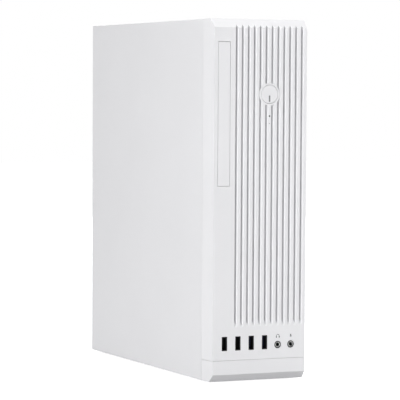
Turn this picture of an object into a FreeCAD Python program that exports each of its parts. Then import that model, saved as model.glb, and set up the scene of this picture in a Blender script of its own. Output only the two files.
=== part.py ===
"""Slim desktop computer tower, modelled as its separate pieces, in millimetres.

Frame: +Z up, the front faces -Y, the removable cover's side panel faces -X.
The origin is the centre of the footprint, on the surface that the feet stand on.
"""

import FreeCAD, Part
import math
import os
import re
import Sketcher

# Driving dimensions: cell alias and value, in millimetres.
DIMENSIONS = {
    # casing
    "case_width": 97.5,
    "case_height": 330,
    "foot_height": 2,
    "front_reach": 149,
    "rear_reach": 140.4,
    "sheet": 0.8,
    "cover_gap": 0.2,
    # plastic front
    "bezel_depth": 20,
    "bezel_taper": 2,
    "bezel_wall": 2.4,
    "bezel_face": 3.2,
    "top_chamfer": 8,
    "base_chamfer": 6.9,
    "seam_height": 19.6,
    "seam_gap": 0.2,
    "groove_first": 24.12,
    "groove_pitch": 6.01,
    "groove_width": 3,
    "groove_depth": 2.5,
    "groove_foot": 50.3,
    "groove_runout": 5.5,
    # optical bay
    "bay_x": 36.85,
    "bay_z": 245.7,
    "bay_width": 12.5,
    "bay_length": 131,
    "fit_gap": 0.3,
    # controls
    "button_x": 8.85,
    "button_z": 263.7,
    "button_radius": 8.35,
    "button_gap": 0.35,
    "collar_wall": 1.6,
    "reset_z": 243.9,
    "lamp_z": 237.2,
    # front sockets
    "usb_first": 35,
    "usb_pitch": 13.5,
    "usb_z": 37.05,
    "usb_width": 5.5,
    "usb_length": 13,
    "usb_wall": 0.3,
    "jack_x": 18.95,
    "jack_pitch": 13.2,
    "jack_z": 34.4,
    "plug_radius": 1.8,
    # main board
    "standoff": 6.5,
    "board_thick": 1.6,
    "board_size": 170,
    "board_low": 40,
    "board_rear": 138.4,
    "socket_y": 66,
    "socket_z": 140,
    "module_first": 4,
    "module_pitch": 9.5,
    # rear face
    "aperture_low": 54.5,
    "aperture_length": 158.75,
    "aperture_width": 44.45,
    "slot_z": 44.5,
    "slot_pitch": 20.32,
    # fans
    "exhaust_z": 249.5,
    "exhaust_x": 2,
    "exhaust_size": 70,
    "cooler_fan_size": 80,
    "supply_fan_size": 40,
    "fan_depth": 15,
    # power supply
    "supply_width": 81.5,
    "supply_height": 40.5,
    "supply_depth": 150,
    "supply_left": 40,
    "supply_low": 289.5,
    # 3.5 inch drive
    "drive_thick": 26.1,
    "drive_width": 101.6,
    "drive_length": 147,
    "drive_low": 184,
    "cage_web": 29,
    # thumbscrews
    "thumb_x": 40.9,
    "thumb_radius": 4.6,
    "thread_radius": 1.7,
}

# Places worked out from the driving dimensions.
LEFT = "-case_width / 2"
RIGHT = "case_width / 2"
LOW = "foot_height"
HIGH = "foot_height + case_height"
FRONT = "-front_reach"
BEZEL_BACK = "bezel_depth - front_reach"
FACE_INNER = "bezel_face - front_reach"
SEAM = "foot_height + seam_height"
INNER_LEFT = "sheet + cover_gap - case_width / 2 + 0.2"
INNER_RIGHT = "case_width / 2 - 2 * sheet - cover_gap"
INNER_LOW = "foot_height + sheet + cover_gap"
INNER_HIGH = "foot_height + case_height - sheet - cover_gap"
FRAME_FRONT = "bezel_depth - front_reach + 0.6"
FRAME_BACK = "bezel_depth - front_reach + 0.6 + sheet"
REAR_INNER = "rear_reach - sheet"
BOARD_FACE = "case_width / 2 - 2 * sheet - cover_gap - standoff - board_thick"
BOARD_BACK = "case_width / 2 - 2 * sheet - cover_gap - standoff"
PANEL_BACK = "2 * sheet + cover_gap + rear_reach - sheet"
SUPPLY_RIGHT = "supply_width - supply_left"
SUPPLY_HIGH = "supply_low + supply_height"
SUPPLY_FRONT = "rear_reach - sheet - supply_depth"
CARD_Y = ("22.5 - front_reach", "24.1 - front_reach")

# Places that two or more pieces share: snap clips, small-card screws and thumbscrew heights.
CLIP_SPOTS = [
    (f"{side}_{level}", x, z)
    for side, x in (("left", "-12"), ("right", "30"))
    for level, z in (("low", "60"), ("high", "314"))
]
SOCKET_CARD_SCREWS = [("-44.2", "37"), ("43", "37")]
SWITCH_CARD_SCREWS = [("-6.5", "253.5"), ("24.5", "253.5")]
THUMB_HEIGHTS = ("62", "268")

doc = FreeCAD.newDocument("DesktopTower")
sheet = doc.addObject("Spreadsheet::Sheet", "Dimensions")
for row, (alias, value) in enumerate(DIMENSIONS.items(), start=1):
    sheet.set(f"A{row}", alias)
    sheet.set(f"B{row}", str(value))
    sheet.setAlias(f"B{row}", alias)
doc.recompute()

NODE_LIMIT = 60
nodes = {}


# ---------------------------------------------------------------- helpers

def formula(text):
    """Point each alias in a formula at the sheet."""
    return re.sub(r"\b([a-z][a-z_]+)\b", r"Dimensions.\1", str(text))


def value_of(text):
    """The number that a formula gives now, for a sketch's first guess and for code-built shapes."""
    total = str(text)
    for alias in sorted(DIMENSIONS, key=len, reverse=True):
        total = re.sub(rf"\b{alias}\b", str(DIMENSIONS[alias]), total)
    return FreeCAD.Units.parseQuantity(total).Value


def bind(item, **sizes):
    for prop, text in sizes.items():
        item.setExpression(prop, formula(text))


def place(item, x=None, y=None, z=None):
    for axis, text in (("x", x), ("y", y), ("z", z)):
        if text is not None:
            item.setExpression(f"Placement.Base.{axis}", formula(text))
    return item


def block(name, x, y, z):
    """A box between two planes on each axis."""
    item = doc.addObject("Part::Box", name)
    bind(
        item,
        Length=f"({x[1]}) - ({x[0]})",
        Width=f"({y[1]}) - ({y[0]})",
        Height=f"({z[1]}) - ({z[0]})",
    )
    return place(item, x[0], y[0], z[0])


TURN_TO = {
    "x": FreeCAD.Rotation(FreeCAD.Vector(0, 1, 0), 90),
    "y": FreeCAD.Rotation(FreeCAD.Vector(1, 0, 0), -90),
    "z": FreeCAD.Rotation(),
}


def along(axis, centre, start):
    """The x, y, z of a round piece's start, from its centre in the other two axes."""
    spot = list(centre)
    spot.insert("xyz".index(axis), start)
    return spot


def rod(name, axis, centre, radius, span):
    """A cylinder along x, y or z; centre holds the other two coordinates in order."""
    item = doc.addObject("Part::Cylinder", name)
    item.Placement.Rotation = TURN_TO[axis]
    bind(item, Radius=radius, Height=f"({span[1]}) - ({span[0]})")
    return place(item, *along(axis, centre, span[0]))


def cone(name, axis, centre, radii, span):
    item = doc.addObject("Part::Cone", name)
    item.Placement.Rotation = TURN_TO[axis]
    bind(item, Radius1=radii[0], Radius2=radii[1], Height=f"({span[1]}) - ({span[0]})")
    return place(item, *along(axis, centre, span[0]))


def hexagon(name, axis, centre, radius, span):
    item = doc.addObject("Part::Prism", name)
    item.Polygon = 6
    item.Placement.Rotation = TURN_TO[axis]
    bind(item, Circumradius=radius, Height=f"({span[1]}) - ({span[0]})")
    return place(item, *along(axis, centre, span[0]))


def origin_plane(body, role):
    return next(feature for feature in body.Origin.OriginFeatures if feature.Role == role)


PRISM_PLANES = {"x": "YZ_Plane", "y": "XZ_Plane", "z": "XY_Plane"}


def prism(name, axis, outline, span):
    """A PartDesign pad of a straight-sided outline along one axis."""
    body = doc.addObject("PartDesign::Body", name)
    sketch = body.newObject("Sketcher::SketchObject", name + "_outline")
    sketch.AttachmentSupport = [(origin_plane(body, PRISM_PLANES[axis]), "")]
    sketch.MapMode = "FlatFace"
    corners = [FreeCAD.Vector(value_of(u), value_of(v), 0) for u, v in outline]
    count = len(corners)
    for index in range(count):
        side = Part.LineSegment(corners[index], corners[(index + 1) % count])
        sketch.addGeometry(side, False)
    for index in range(count):
        sketch.addConstraint(Sketcher.Constraint("Coincident", index, 2, (index + 1) % count, 1))
    for index, (u, v) in enumerate(outline):
        for kind, text, first in (("DistanceX", u, corners[index].x), ("DistanceY", v, corners[index].y)):
            number = sketch.addConstraint(Sketcher.Constraint(kind, -1, 1, index, 1, first))
            sketch.setExpression(f"Constraints[{number}]", formula(text))
    pad = body.newObject("PartDesign::Pad", name + "_pad")
    pad.Profile = sketch
    bind(pad, Length=f"({span[1]}) - ({span[0]})")
    # A sketch on the XZ plane grows towards -Y, so its body stands at the far end.
    start = span[1] if axis == "y" else span[0]
    return place(body, **{axis: start})


def joined(name, *items):
    item = doc.addObject("Part::MultiFuse", name)
    item.Shapes = list(items)
    return item


def grouped(name, *items):
    """Separate solids that share one node."""
    item = doc.addObject("Part::Compound", name)
    item.Links = list(items)
    return item


def removed(name, base, *tools):
    tool = tools[0] if len(tools) == 1 else grouped(name + "_tools", *tools)
    item = doc.addObject("Part::Cut", name)
    item.Base = base
    item.Tool = tool
    return item


def shared(name, base, tool):
    item = doc.addObject("Part::Common", name)
    item.Base = base
    item.Tool = tool
    return item


def rounded(name, base, radius, wanted):
    """Fillet the base's edges that the test picks."""
    doc.recompute()
    item = doc.addObject("Part::Fillet", name)
    item.Base = base
    item.Edges = [
        (number, radius, radius)
        for number, edge in enumerate(base.Shape.Edges, start=1)
        if wanted(edge.BoundBox)
    ]
    return item


def publish(node, item):
    """Give a sub-part its node name."""
    item.Label = node
    nodes[node] = item
    return item


def shape_item(name, shape):
    item = doc.addObject("Part::Feature", name)
    item.Shape = shape
    return item


# ---------------------------------------------------------------- plastic front

def bezel_form(name, inset, face_inset, back, low, high, base_cut, top_cut):
    """The front's tapered block between two heights, its front edges chamfered where given."""
    wedge = doc.addObject("Part::Wedge", name + "_taper")
    bind(
        wedge,
        Xmin=f"bezel_taper + {inset} - case_width / 2",
        Xmax=f"case_width / 2 - bezel_taper - {inset}",
        X2min=f"{inset} - case_width / 2",
        X2max=f"case_width / 2 - {inset}",
        Ymin=f"{face_inset} - front_reach",
        Ymax=back,
        Zmin=low,
        Zmax=high,
        Z2min=low,
        Z2max=high,
    )
    face = f"{face_inset} - front_reach"
    outline = [(back, low)]
    if base_cut:
        outline += [(f"{face} + {base_cut}", low), (face, f"{low} + {base_cut}")]
    else:
        outline += [(face, low)]
    if top_cut:
        outline += [(face, f"{high} - {top_cut}"), (f"{face} + {top_cut}", high)]
    else:
        outline += [(face, high)]
    outline += [(back, high)]
    side = prism(name + "_side", "x", outline, (LEFT, RIGHT))
    return shared(name + "_form", wedge, side)


def bezel_shell(name, low, high, base_cut, top_cut):
    outer = bezel_form(name + "_outer", "0", "0", BEZEL_BACK, low, high, base_cut, top_cut)
    inner = bezel_form(
        name + "_inner",
        "bezel_wall",
        "bezel_face",
        BEZEL_BACK + " + 1",
        f"{low} + bezel_wall",
        f"{high} - bezel_wall",
        base_cut,
        top_cut,
    )
    return removed(name + "_shell", outer, inner)


def groove_cutters():
    """Twelve V grooves that run out in the top chamfer and rise to a point at the foot."""
    vees = []
    for index in range(12):
        vee = doc.addObject("Part::Wedge", f"groove_{index + 1}")
        centre = f"{index} * groove_pitch - groove_first"
        reach = "groove_width / 2 * (groove_depth + 0.5) / groove_depth"
        bind(
            vee,
            Xmin=f"{centre} - {reach}",
            Xmax=f"{centre} + {reach}",
            X2min=centre,
            X2max=centre,
            Ymin="-front_reach - 0.5",
            Ymax="groove_depth - front_reach",
            Zmin="foot_height + groove_foot",
            Zmax=HIGH,
            Z2min="foot_height + groove_foot",
            Z2max=HIGH,
        )
        vees.append(vee)
    foot = "foot_height + groove_foot"
    outline = [
        ("-front_reach - 1", foot),
        (FRONT, foot),
        ("groove_depth - front_reach + 0.1", f"{foot} + groove_runout"),
        ("groove_depth - front_reach + 0.1", HIGH),
        ("-front_reach - 1", HIGH),
    ]
    reach = prism("groove_region", "x", outline, (LEFT, RIGHT))
    cutters = shared("groove_cut", grouped("grooves", *vees), reach)
    collar = rod(
        "collar_disc",
        "y",
        ("button_x", "button_z"),
        "button_radius + button_gap + collar_wall",
        ("-front_reach - 2", "4 - front_reach"),
    )
    return removed("grooves_beside_collar", cutters, collar)


def usb_centre(index):
    return f"{index} * usb_pitch - usb_first"


def jack_centre(index):
    return f"jack_x + {index} * jack_pitch"


def front_bezel():
    shell = bezel_shell("bezel", f"{SEAM} + seam_gap", HIGH, None, "top_chamfer")
    through = ("-front_reach - 1", "8 - front_reach")
    bay = block(
        "bay_window",
        ("-bay_x - bay_width / 2", "bay_width / 2 - bay_x"),
        through,
        ("bay_z - bay_length / 2", "bay_z + bay_length / 2"),
    )
    holes = [bay]
    for index in range(4):
        centre = usb_centre(index)
        holes.append(
            block(
                f"usb_window_{index + 1}",
                (f"{centre} - usb_width / 2", f"{centre} + usb_width / 2"),
                through,
                ("usb_z - usb_length / 2", "usb_z + usb_length / 2"),
            )
        )
    for index in range(2):
        holes.append(rod(f"jack_hole_{index + 1}", "y", (jack_centre(index), "jack_z"), "3.5", through))
    bore = "button_radius + button_gap"
    holes.append(
        rod("button_bore", "y", ("button_x", "button_z"), bore, ("-front_reach - 1", "12 - front_reach"))
    )
    holes.append(rod("reset_hole", "y", ("button_x", "reset_z"), "0.75", through))
    holes.append(rod("lamp_hole", "y", ("button_x", "lamp_z"), "0.55", through))
    holes.append(groove_cutters())
    sleeve = rod(
        "button_sleeve",
        "y",
        ("button_x", "button_z"),
        "button_radius + button_gap + collar_wall",
        (FACE_INNER, "11 - front_reach"),
    )
    reset_guide = rod("reset_guide", "y", ("button_x", "reset_z"), "2.6", (FACE_INNER, "9 - front_reach"))
    clip_y = (FACE_INNER, f"{BEZEL_BACK} + 3")
    clips = [
        block(f"clip_{label}", (f"{x} - 3", f"{x} + 3"), clip_y, (z, f"{z} + 1.6"))
        for label, x, z in CLIP_SPOTS
    ]
    posts = joined("bezel_with_posts", shell, sleeve, reset_guide, *clips)
    guide_bore = rod(
        "reset_guide_bore",
        "y",
        ("button_x", "reset_z"),
        "2",
        ("bezel_face - front_reach - 1.6", "10 - front_reach"),
    )
    publish("front_bezel", removed("bezel_finished", posts, *holes, guide_bore))


def lower_bezel():
    publish("lower_bezel", bezel_shell("skirt", LOW, SEAM, "base_chamfer", None))


def optical_bay_cover():
    """A blanking plate with a rim behind it and a snap tab at each end."""
    x = ("-bay_x - bay_width / 2 + fit_gap", "bay_width / 2 - bay_x - fit_gap")
    z = ("bay_z - bay_length / 2 + fit_gap", "bay_z + bay_length / 2 - fit_gap")
    body = block("blank_body", x, ("0.2 - front_reach", "11 - front_reach"), z)
    hollow = block(
        "blank_hollow",
        (f"{x[0]} + 1.4", f"{x[1]} - 1.4"),
        ("2.2 - front_reach", "12 - front_reach"),
        (f"{z[0]} + 1.4", f"{z[1]} - 1.4"),
    )
    tab_y = (f"{FACE_INNER} + 0.2", f"{FACE_INNER} + 2.4")
    tab_x = ("-bay_x - 2.5", "2.5 - bay_x")
    low_tab = block("blank_tab_low", tab_x, tab_y, (f"{z[0]} - 1.6", z[0]))
    high_tab = block("blank_tab_high", tab_x, tab_y, (z[1], f"{z[1]} + 1.6"))
    publish(
        "optical_bay_cover",
        joined("blank_finished", removed("blank_cup", body, hollow), low_tab, high_tab),
    )


def power_button():
    """A round cap on a stem, with a slot for its light window."""
    centre = ("button_x", "button_z")
    cap = rod("button_cap", "y", centre, "button_radius", (FRONT, "11.3 - front_reach"))
    hollow = rod(
        "button_hollow", "y", centre, "button_radius - 1.8", ("2.6 - front_reach", "12 - front_reach")
    )
    flange = rod(
        "button_flange", "y", centre, "button_radius + 1.2", ("11.3 - front_reach", "12.3 - front_reach")
    )
    web = rod("button_web", "y", centre, "button_radius", ("10.3 - front_reach", "11.3 - front_reach"))
    stem = rod("button_stem", "y", centre, "2.6", ("2.6 - front_reach", "16 - front_reach"))
    body = joined("button_body", removed("button_cup", cap, hollow), flange, web, stem)
    slot = block(
        "button_slot",
        ("button_x - 0.7", "button_x + 0.7"),
        ("-front_reach - 1", "2.6 - front_reach"),
        ("button_z - 6.9", "button_z - 1.1"),
    )
    publish("power_button", removed("button_finished", body, slot))
    window = block(
        "window_block",
        ("button_x - 0.7", "button_x + 0.7"),
        ("0.15 - front_reach", "2.6 - front_reach"),
        ("button_z - 6.9", "button_z - 1.1"),
    )
    publish("power_button_window", window)


def reset_button():
    centre = ("button_x", "reset_z")
    pin = rod("reset_pin", "y", centre, "0.5", ("1 - front_reach", "3.5 - front_reach"))
    barrel = rod("reset_barrel", "y", centre, "1.7", ("3.5 - front_reach", "17.2 - front_reach"))
    publish("reset_button", joined("reset_finished", pin, barrel))


def activity_lens():
    centre = ("button_x", "lamp_z")
    tip = rod("lens_tip", "y", centre, "0.5", ("0.1 - front_reach", "3.2 - front_reach"))
    pipe = rod("lens_pipe", "y", centre, "1.2", ("3.2 - front_reach", "20.4 - front_reach"))
    publish("activity_lens", joined("lens_finished", tip, pipe))


def front_plastics():
    front_bezel()
    lower_bezel()
    optical_bay_cover()
    power_button()
    reset_button()
    activity_lens()


# ---------------------------------------------------------------- sheet-metal chassis

def row_of(name, count, first, pitch, make):
    """Equal pieces or cuts at an even pitch; make gets each one's name and its place."""
    return [make(f"{name}_{index + 1}", f"{first} + {index} * {pitch}") for index in range(count)]


def front_frame():
    """The steel plate behind the plastic front, with its windows."""
    y = (FRAME_FRONT, FRAME_BACK)
    through = (f"{FRAME_FRONT} - 1", f"{FRAME_BACK} + 1")
    plate = block("frame_plate", (INNER_LEFT, INNER_RIGHT), y, (f"{INNER_LOW} + sheet", INNER_HIGH))
    low_window = block("frame_sockets", ("-42", "40"), through, ("24.5", "49.5"))
    bay = block(
        "frame_bay",
        ("-bay_x - bay_width / 2 - 1", "bay_width / 2 - bay_x + 1"),
        through,
        ("bay_z - bay_length / 2 - 2", "bay_z + bay_length / 2 + 2"),
    )
    switches = block("frame_switches", ("-4", "22"), through, ("229", "278"))
    clip_slots = [
        block(f"frame_clip_{label}", (f"{x} - 3.5", f"{x} + 3.5"), through, (f"{z} - 0.5", f"{z} + 2.1"))
        for label, x, z in CLIP_SPOTS
    ]
    vents = [
        block(
            f"frame_vent_{index + 1}",
            ("-30", "30"),
            through,
            (f"80 + {index} * 9", f"84 + {index} * 9"),
        )
        for index in range(9)
    ]
    flange = block(
        "frame_flange",
        (INNER_LEFT, f"{INNER_LEFT} + sheet"),
        (FRAME_BACK, f"{FRAME_BACK} + 9"),
        ("70", "165"),
    )
    punched = removed("frame_punched", plate, low_window, bay, switches, *clip_slots, *vents)
    boss_y = (FRAME_BACK, CARD_Y[0])
    bosses = [
        rod(f"frame_boss_{index + 1}", "y", spot, "2.6", boss_y)
        for index, spot in enumerate(SOCKET_CARD_SCREWS)
    ]
    switch_bosses = [
        rod(f"switch_boss_{index + 1}", "y", spot, "2.2", boss_y)
        for index, spot in enumerate(SWITCH_CARD_SCREWS)
    ]
    publish("front_frame", joined("frame_finished", punched, flange, *bosses, *switch_bosses))


def right_wall():
    """The steel side that carries the main board, with vent slots beside the drives."""
    plate = block(
        "wall_plate",
        (INNER_RIGHT, f"{INNER_RIGHT} + sheet"),
        (FRAME_FRONT, REAR_INNER),
        (INNER_LOW, INNER_HIGH),
    )
    slots = row_of(
        "wall_slot",
        14,
        "-104",
        "7",
        lambda name, y: block(name, (f"{INNER_RIGHT} - 1", RIGHT), (y, f"{y} + 3"), ("214", "262")),
    )
    publish("right_wall", removed("wall_finished", plate, *slots))


def floor_plate():
    plate = block(
        "floor_sheet",
        (INNER_LEFT, INNER_RIGHT),
        (FRAME_FRONT, REAR_INNER),
        (INNER_LOW, f"{INNER_LOW} + sheet"),
    )
    slots = row_of(
        "floor_slot",
        9,
        "-48",
        "12",
        lambda name, y: block(name, ("-28", "28"), (y, f"{y} + 4"), ("0", "10")),
    )
    publish("floor_plate", removed("floor_finished", plate, *slots))


def grille(name, centre, radius, y, bars):
    """Level slots inside a circle, for a fan to blow through."""
    pitch = f"(2 * {radius} / {bars})"
    slots = [
        block(
            f"{name}_bar_{index + 1}",
            (f"{centre[0]} - {radius}", f"{centre[0]} + {radius}"),
            y,
            (
                f"{centre[1]} - {radius} + {index} * {pitch} + {pitch} * 0.18",
                f"{centre[1]} - {radius} + {index} * {pitch} + {pitch} * 0.82",
            ),
        )
        for index in range(bars)
    ]
    round_area = rod(name + "_round", "y", centre, radius, y)
    spine = block(
        name + "_spine",
        (f"{centre[0]} - 1.2", f"{centre[0]} + 1.2"),
        y,
        (f"{centre[1]} - {radius}", f"{centre[1]} + {radius}"),
    )
    return removed(name, shared(name + "_slots", grouped(name + "_bars", *slots), round_area), spine)


def exhaust_screw_spots():
    reach = "exhaust_size / 2 - 5"
    return [
        (f"exhaust_x + {side} * ({reach})", f"exhaust_z + {level} * ({reach})")
        for side in (-1, 1)
        for level in (-1, 1)
    ]


SUPPLY_FAN = ("supply_width - supply_left - 21.5", "supply_low + 20.25")
SUPPLY_SCREW_SPOTS = [
    (x, z) for x in ("-34.6", "37.6") for z in ("supply_low + 4.6", "supply_low + 35.9")
]


def rear_panel():
    plate = block(
        "rear_plate",
        (INNER_LEFT, f"{INNER_RIGHT} + sheet"),
        (REAR_INNER, "rear_reach"),
        (INNER_LOW, INNER_HIGH),
    )
    through = (f"{REAR_INNER} - 1", "rear_reach + 1")
    aperture = block(
        "rear_aperture",
        (f"{BOARD_FACE} + 2.24 - aperture_width", f"{BOARD_FACE} + 2.24"),
        through,
        ("aperture_low", "aperture_low + aperture_length"),
    )
    slots = [
        block(
            f"rear_slot_{index + 1}",
            ("-29", "39"),
            through,
            (f"slot_z - {index} * slot_pitch - 6.5", f"slot_z - {index} * slot_pitch + 6.5"),
        )
        for index in range(2)
    ]
    supply = block(
        "rear_supply_window", ("-31.7", "-4.1"), through, ("supply_low + 1.5", "supply_low + 37")
    )
    supply_fan = rod("rear_supply_fan", "y", SUPPLY_FAN, "18.6", through)
    fan = grille("rear_grille", ("exhaust_x", "exhaust_z"), "32.5", through, 9)
    holes = [
        rod(f"rear_thumb_hole_{index + 1}", "y", ("-thumb_x", z), "thread_radius + 0.2", through)
        for index, z in enumerate(THUMB_HEIGHTS)
    ]
    holes += [
        rod(f"rear_fan_hole_{index + 1}", "y", spot, "1.9", through)
        for index, spot in enumerate(exhaust_screw_spots())
    ]
    punched = removed("rear_punched", plate, aperture, *slots, supply, supply_fan, fan, *holes)
    ledges = [
        block(
            f"rear_ledge_{index + 1}",
            ("-32", "-31.2"),
            ("127", REAR_INNER),
            (f"slot_z - {index} * slot_pitch - 7", f"slot_z - {index} * slot_pitch + 7"),
        )
        for index in range(2)
    ]
    threads = [
        rod(
            f"ledge_hole_{index + 1}",
            "x",
            ("132", f"slot_z - {index} * slot_pitch"),
            "1.6",
            ("-34", "-29"),
        )
        for index in range(2)
    ]
    publish(
        "rear_panel", removed("rear_finished", joined("rear_with_ledges", punched, *ledges), *threads)
    )


def slot_covers():
    """Low-profile blanking brackets: a plate on the rear panel's inside and a bent screw tab."""
    covers = []
    for index in range(2):
        centre = f"slot_z - {index} * slot_pitch"
        z = (f"{centre} - 9.2", f"{centre} + 9.2")
        plate = block(
            f"bracket_plate_{index + 1}", ("-32.8", "42"), (f"{REAR_INNER} - sheet", REAR_INNER), z
        )
        relief = block(
            f"bracket_relief_{index + 1}",
            ("-32.01", "-31.19"),
            (f"{REAR_INNER} - 2", f"{REAR_INNER} + 1"),
            (f"{centre} - 7.01", f"{centre} + 7.01"),
        )
        tab = block(f"bracket_tab_{index + 1}", ("-32.8", "-32"), ("128", f"{REAR_INNER} - sheet"), z)
        screw_hole = rod(f"bracket_hole_{index + 1}", "x", ("132", centre), "2", ("-34", "-31.9"))
        covers.append(
            removed(
                f"bracket_{index + 1}",
                joined(f"bracket_body_{index + 1}", plate, tab),
                relief,
                screw_hole,
            )
        )
    publish("slot_covers", grouped("slot_cover_pair", *covers))


def slot_screws():
    screws = []
    for index in range(2):
        centre = ("132", f"slot_z - {index} * slot_pitch")
        head = hexagon(f"slot_head_{index + 1}", "x", centre, "3.8", ("-35.4", "-32.8"))
        shank = rod(f"slot_shank_{index + 1}", "x", centre, "1.55", ("-32.8", "-28"))
        screws.append(joined(f"slot_screw_{index + 1}", head, shank))
    return screws


def rubber_feet():
    feet = [
        cone(f"foot_{index + 1}", "z", (x, y), ("6", "7"), ("0", INNER_LOW))
        for index, (x, y) in enumerate((("-22", "-95"), ("22", "-95"), ("-22", "110"), ("22", "110")))
    ]
    publish("rubber_feet", grouped("feet", *feet))


def drive_cage():
    """A channel for a slim optical drive, open on the left; its web carries the hard drive."""
    web = block("cage_plate", ("-cage_web - sheet", "-cage_web"), (FRAME_BACK, "-12"), ("176.4", "312.6"))
    shelves = [
        block(
            f"cage_shelf_{level}",
            ("-46.4", "-cage_web - sheet"),
            (FRAME_BACK, "-12"),
            (z, f"{z} + sheet"),
        )
        for level, z in (("low", "176.4"), ("high", "311.8"))
    ]
    tab = block("cage_tab", ("-cage_web", "-18"), (FRAME_BACK, f"{FRAME_BACK} + sheet"), ("288", "312.6"))
    foot = block(
        "cage_foot", ("-cage_web", "-18"), (FRAME_BACK, f"{FRAME_BACK} + sheet"), ("176.4", "183")
    )
    windows = [
        block(
            f"cage_window_{index + 1}",
            ("-cage_web - 2", "-cage_web + 1"),
            (y, f"{y} + 24"),
            ("200", "270"),
        )
        for index, y in enumerate(("-112", "-80", "-48"))
    ]
    publish(
        "drive_cage", removed("cage_finished", joined("cage_body", web, *shelves, tab, foot), *windows)
    )


def chassis():
    front_frame()
    right_wall()
    floor_plate()
    rear_panel()
    slot_covers()
    rubber_feet()
    drive_cage()


# ---------------------------------------------------------------- sliding cover

def cover():
    """Left side, top and return lips, with a rear flange for the two thumbscrews."""
    y = ("bezel_depth - front_reach + 0.3", PANEL_BACK)
    side = block("cover_side", (LEFT, f"{LEFT} + sheet"), y, (LOW, HIGH))
    top = block("cover_top", (LEFT, RIGHT), y, (f"{HIGH} - sheet", HIGH))
    lip = block("cover_lip", (f"{RIGHT} - sheet", RIGHT), y, (f"{HIGH} - 16", HIGH))
    hem = block("cover_hem", (LEFT, f"{LEFT} + 10"), y, (LOW, f"{LOW} + sheet"))
    flange = block("cover_flange", (LEFT, "-37.6"), (f"{PANEL_BACK} - sheet", PANEL_BACK), ("12", "322"))
    body = joined("cover_body", side, top, lip, hem, flange)

    def outer_bend(box):
        long_run = box.YLength > 200 and box.XLength < 0.01 and box.ZLength < 0.01
        at_side = abs(abs(box.XMin) - value_of(RIGHT)) < 0.01
        at_end = abs(box.ZMin - value_of(HIGH)) < 0.01 or abs(box.ZMin - value_of(LOW)) < 0.01
        return long_run and at_side and at_end

    bent = rounded("cover_bent", body, 0.75, outer_bend)
    holes = [
        rod(
            f"flange_hole_{index + 1}",
            "y",
            ("-thumb_x", z),
            "thread_radius + 0.08",
            (f"{PANEL_BACK} - 2", f"{PANEL_BACK} + 1"),
        )
        for index, z in enumerate(THUMB_HEIGHTS)
    ]
    publish("cover", removed("cover_finished", bent, *holes))


def thumbscrews():
    for level, z in zip(("lower", "upper"), THUMB_HEIGHTS):
        centre = ("-thumb_x", z)
        head = rod(
            f"thumb_head_{level}", "y", centre, "thumb_radius", (f"{PANEL_BACK} + 0.6", "front_reach")
        )
        collar = rod(
            f"thumb_collar_{level}", "y", centre, "3.6", (f"{PANEL_BACK} + 0.05", f"{PANEL_BACK} + 0.6")
        )
        shank = rod(
            f"thumb_shank_{level}",
            "y",
            centre,
            "thread_radius",
            ("rear_reach - 8", f"{PANEL_BACK} + 0.6"),
        )
        slot = block(
            f"thumb_slot_{level}",
            ("-thumb_x - 7", "7 - thumb_x"),
            ("front_reach - 1.6", "front_reach + 1"),
            (f"{z} - 0.7", f"{z} + 0.7"),
        )
        notches = []
        for index in range(18):
            angle = index * 20
            notch = doc.addObject("Part::Cylinder", f"knurl_{level}_{index + 1}")
            notch.Placement.Rotation = TURN_TO["y"]
            bind(notch, Radius="0.45", Height="8")
            place(
                notch,
                f"-thumb_x + thumb_radius * {math.cos(math.radians(angle)):.5f}",
                f"{PANEL_BACK} + 0.3",
                f"{z} + thumb_radius * {math.sin(math.radians(angle)):.5f}",
            )
            notches.append(notch)
        body = joined(f"thumb_body_{level}", head, collar, shank)
        publish(f"thumbscrew_{level}", removed(f"thumb_finished_{level}", body, slot, *notches))


# ---------------------------------------------------------------- main board

def board_hole_spots():
    top = "board_low + board_size - 10.16"
    rear = "board_rear - 6.35"
    return [
        (y, z)
        for y in (rear, f"{rear} - 157.48")
        for z in (top, f"{top} - 154.94")
    ]


def motherboard():
    card = block(
        "card",
        (BOARD_FACE, BOARD_BACK),
        ("board_rear - board_size", "board_rear"),
        ("board_low", "board_low + board_size"),
    )
    holes = [
        rod(f"card_hole_{index + 1}", "x", spot, "1.95", (f"{BOARD_FACE} - 1", f"{BOARD_BACK} + 1"))
        for index, spot in enumerate(board_hole_spots())
    ]
    publish("motherboard", removed("card_finished", card, *holes))
    posts = []
    screws = []
    for index, spot in enumerate(board_hole_spots()):
        post = hexagon(f"post_{index + 1}", "x", spot, "3", (BOARD_BACK, INNER_RIGHT))
        thread = rod(
            f"post_thread_{index + 1}", "x", spot, "1.6", (f"{BOARD_BACK} - 1", f"{BOARD_BACK} + 5")
        )
        posts.append(removed(f"post_bored_{index + 1}", post, thread))
        head = rod(f"card_head_{index + 1}", "x", spot, "3.2", (f"{BOARD_FACE} - 2", BOARD_FACE))
        shank = rod(f"card_shank_{index + 1}", "x", spot, "1.5", (BOARD_FACE, f"{BOARD_BACK} + 4"))
        cross = [
            block(
                f"cross_{index + 1}_{way}",
                (f"{BOARD_FACE} - 3", f"{BOARD_FACE} - 1"),
                (f"{spot[0]} - {a}", f"{spot[0]} + {a}"),
                (f"{spot[1]} - {b}", f"{spot[1]} + {b}"),
            )
            for way, a, b in (("level", "1.8", "0.35"), ("upright", "0.35", "1.8"))
        ]
        screws.append(
            removed(
                f"card_screw_{index + 1}", joined(f"card_screw_body_{index + 1}", head, shank), *cross
            )
        )
    return posts, screws


def on_board(name, height, y, z, base="0"):
    """A block that stands on the board's component face."""
    return block(name, (f"{BOARD_FACE} - {base} - {height}", f"{BOARD_FACE} - {base}"), y, z)


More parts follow.
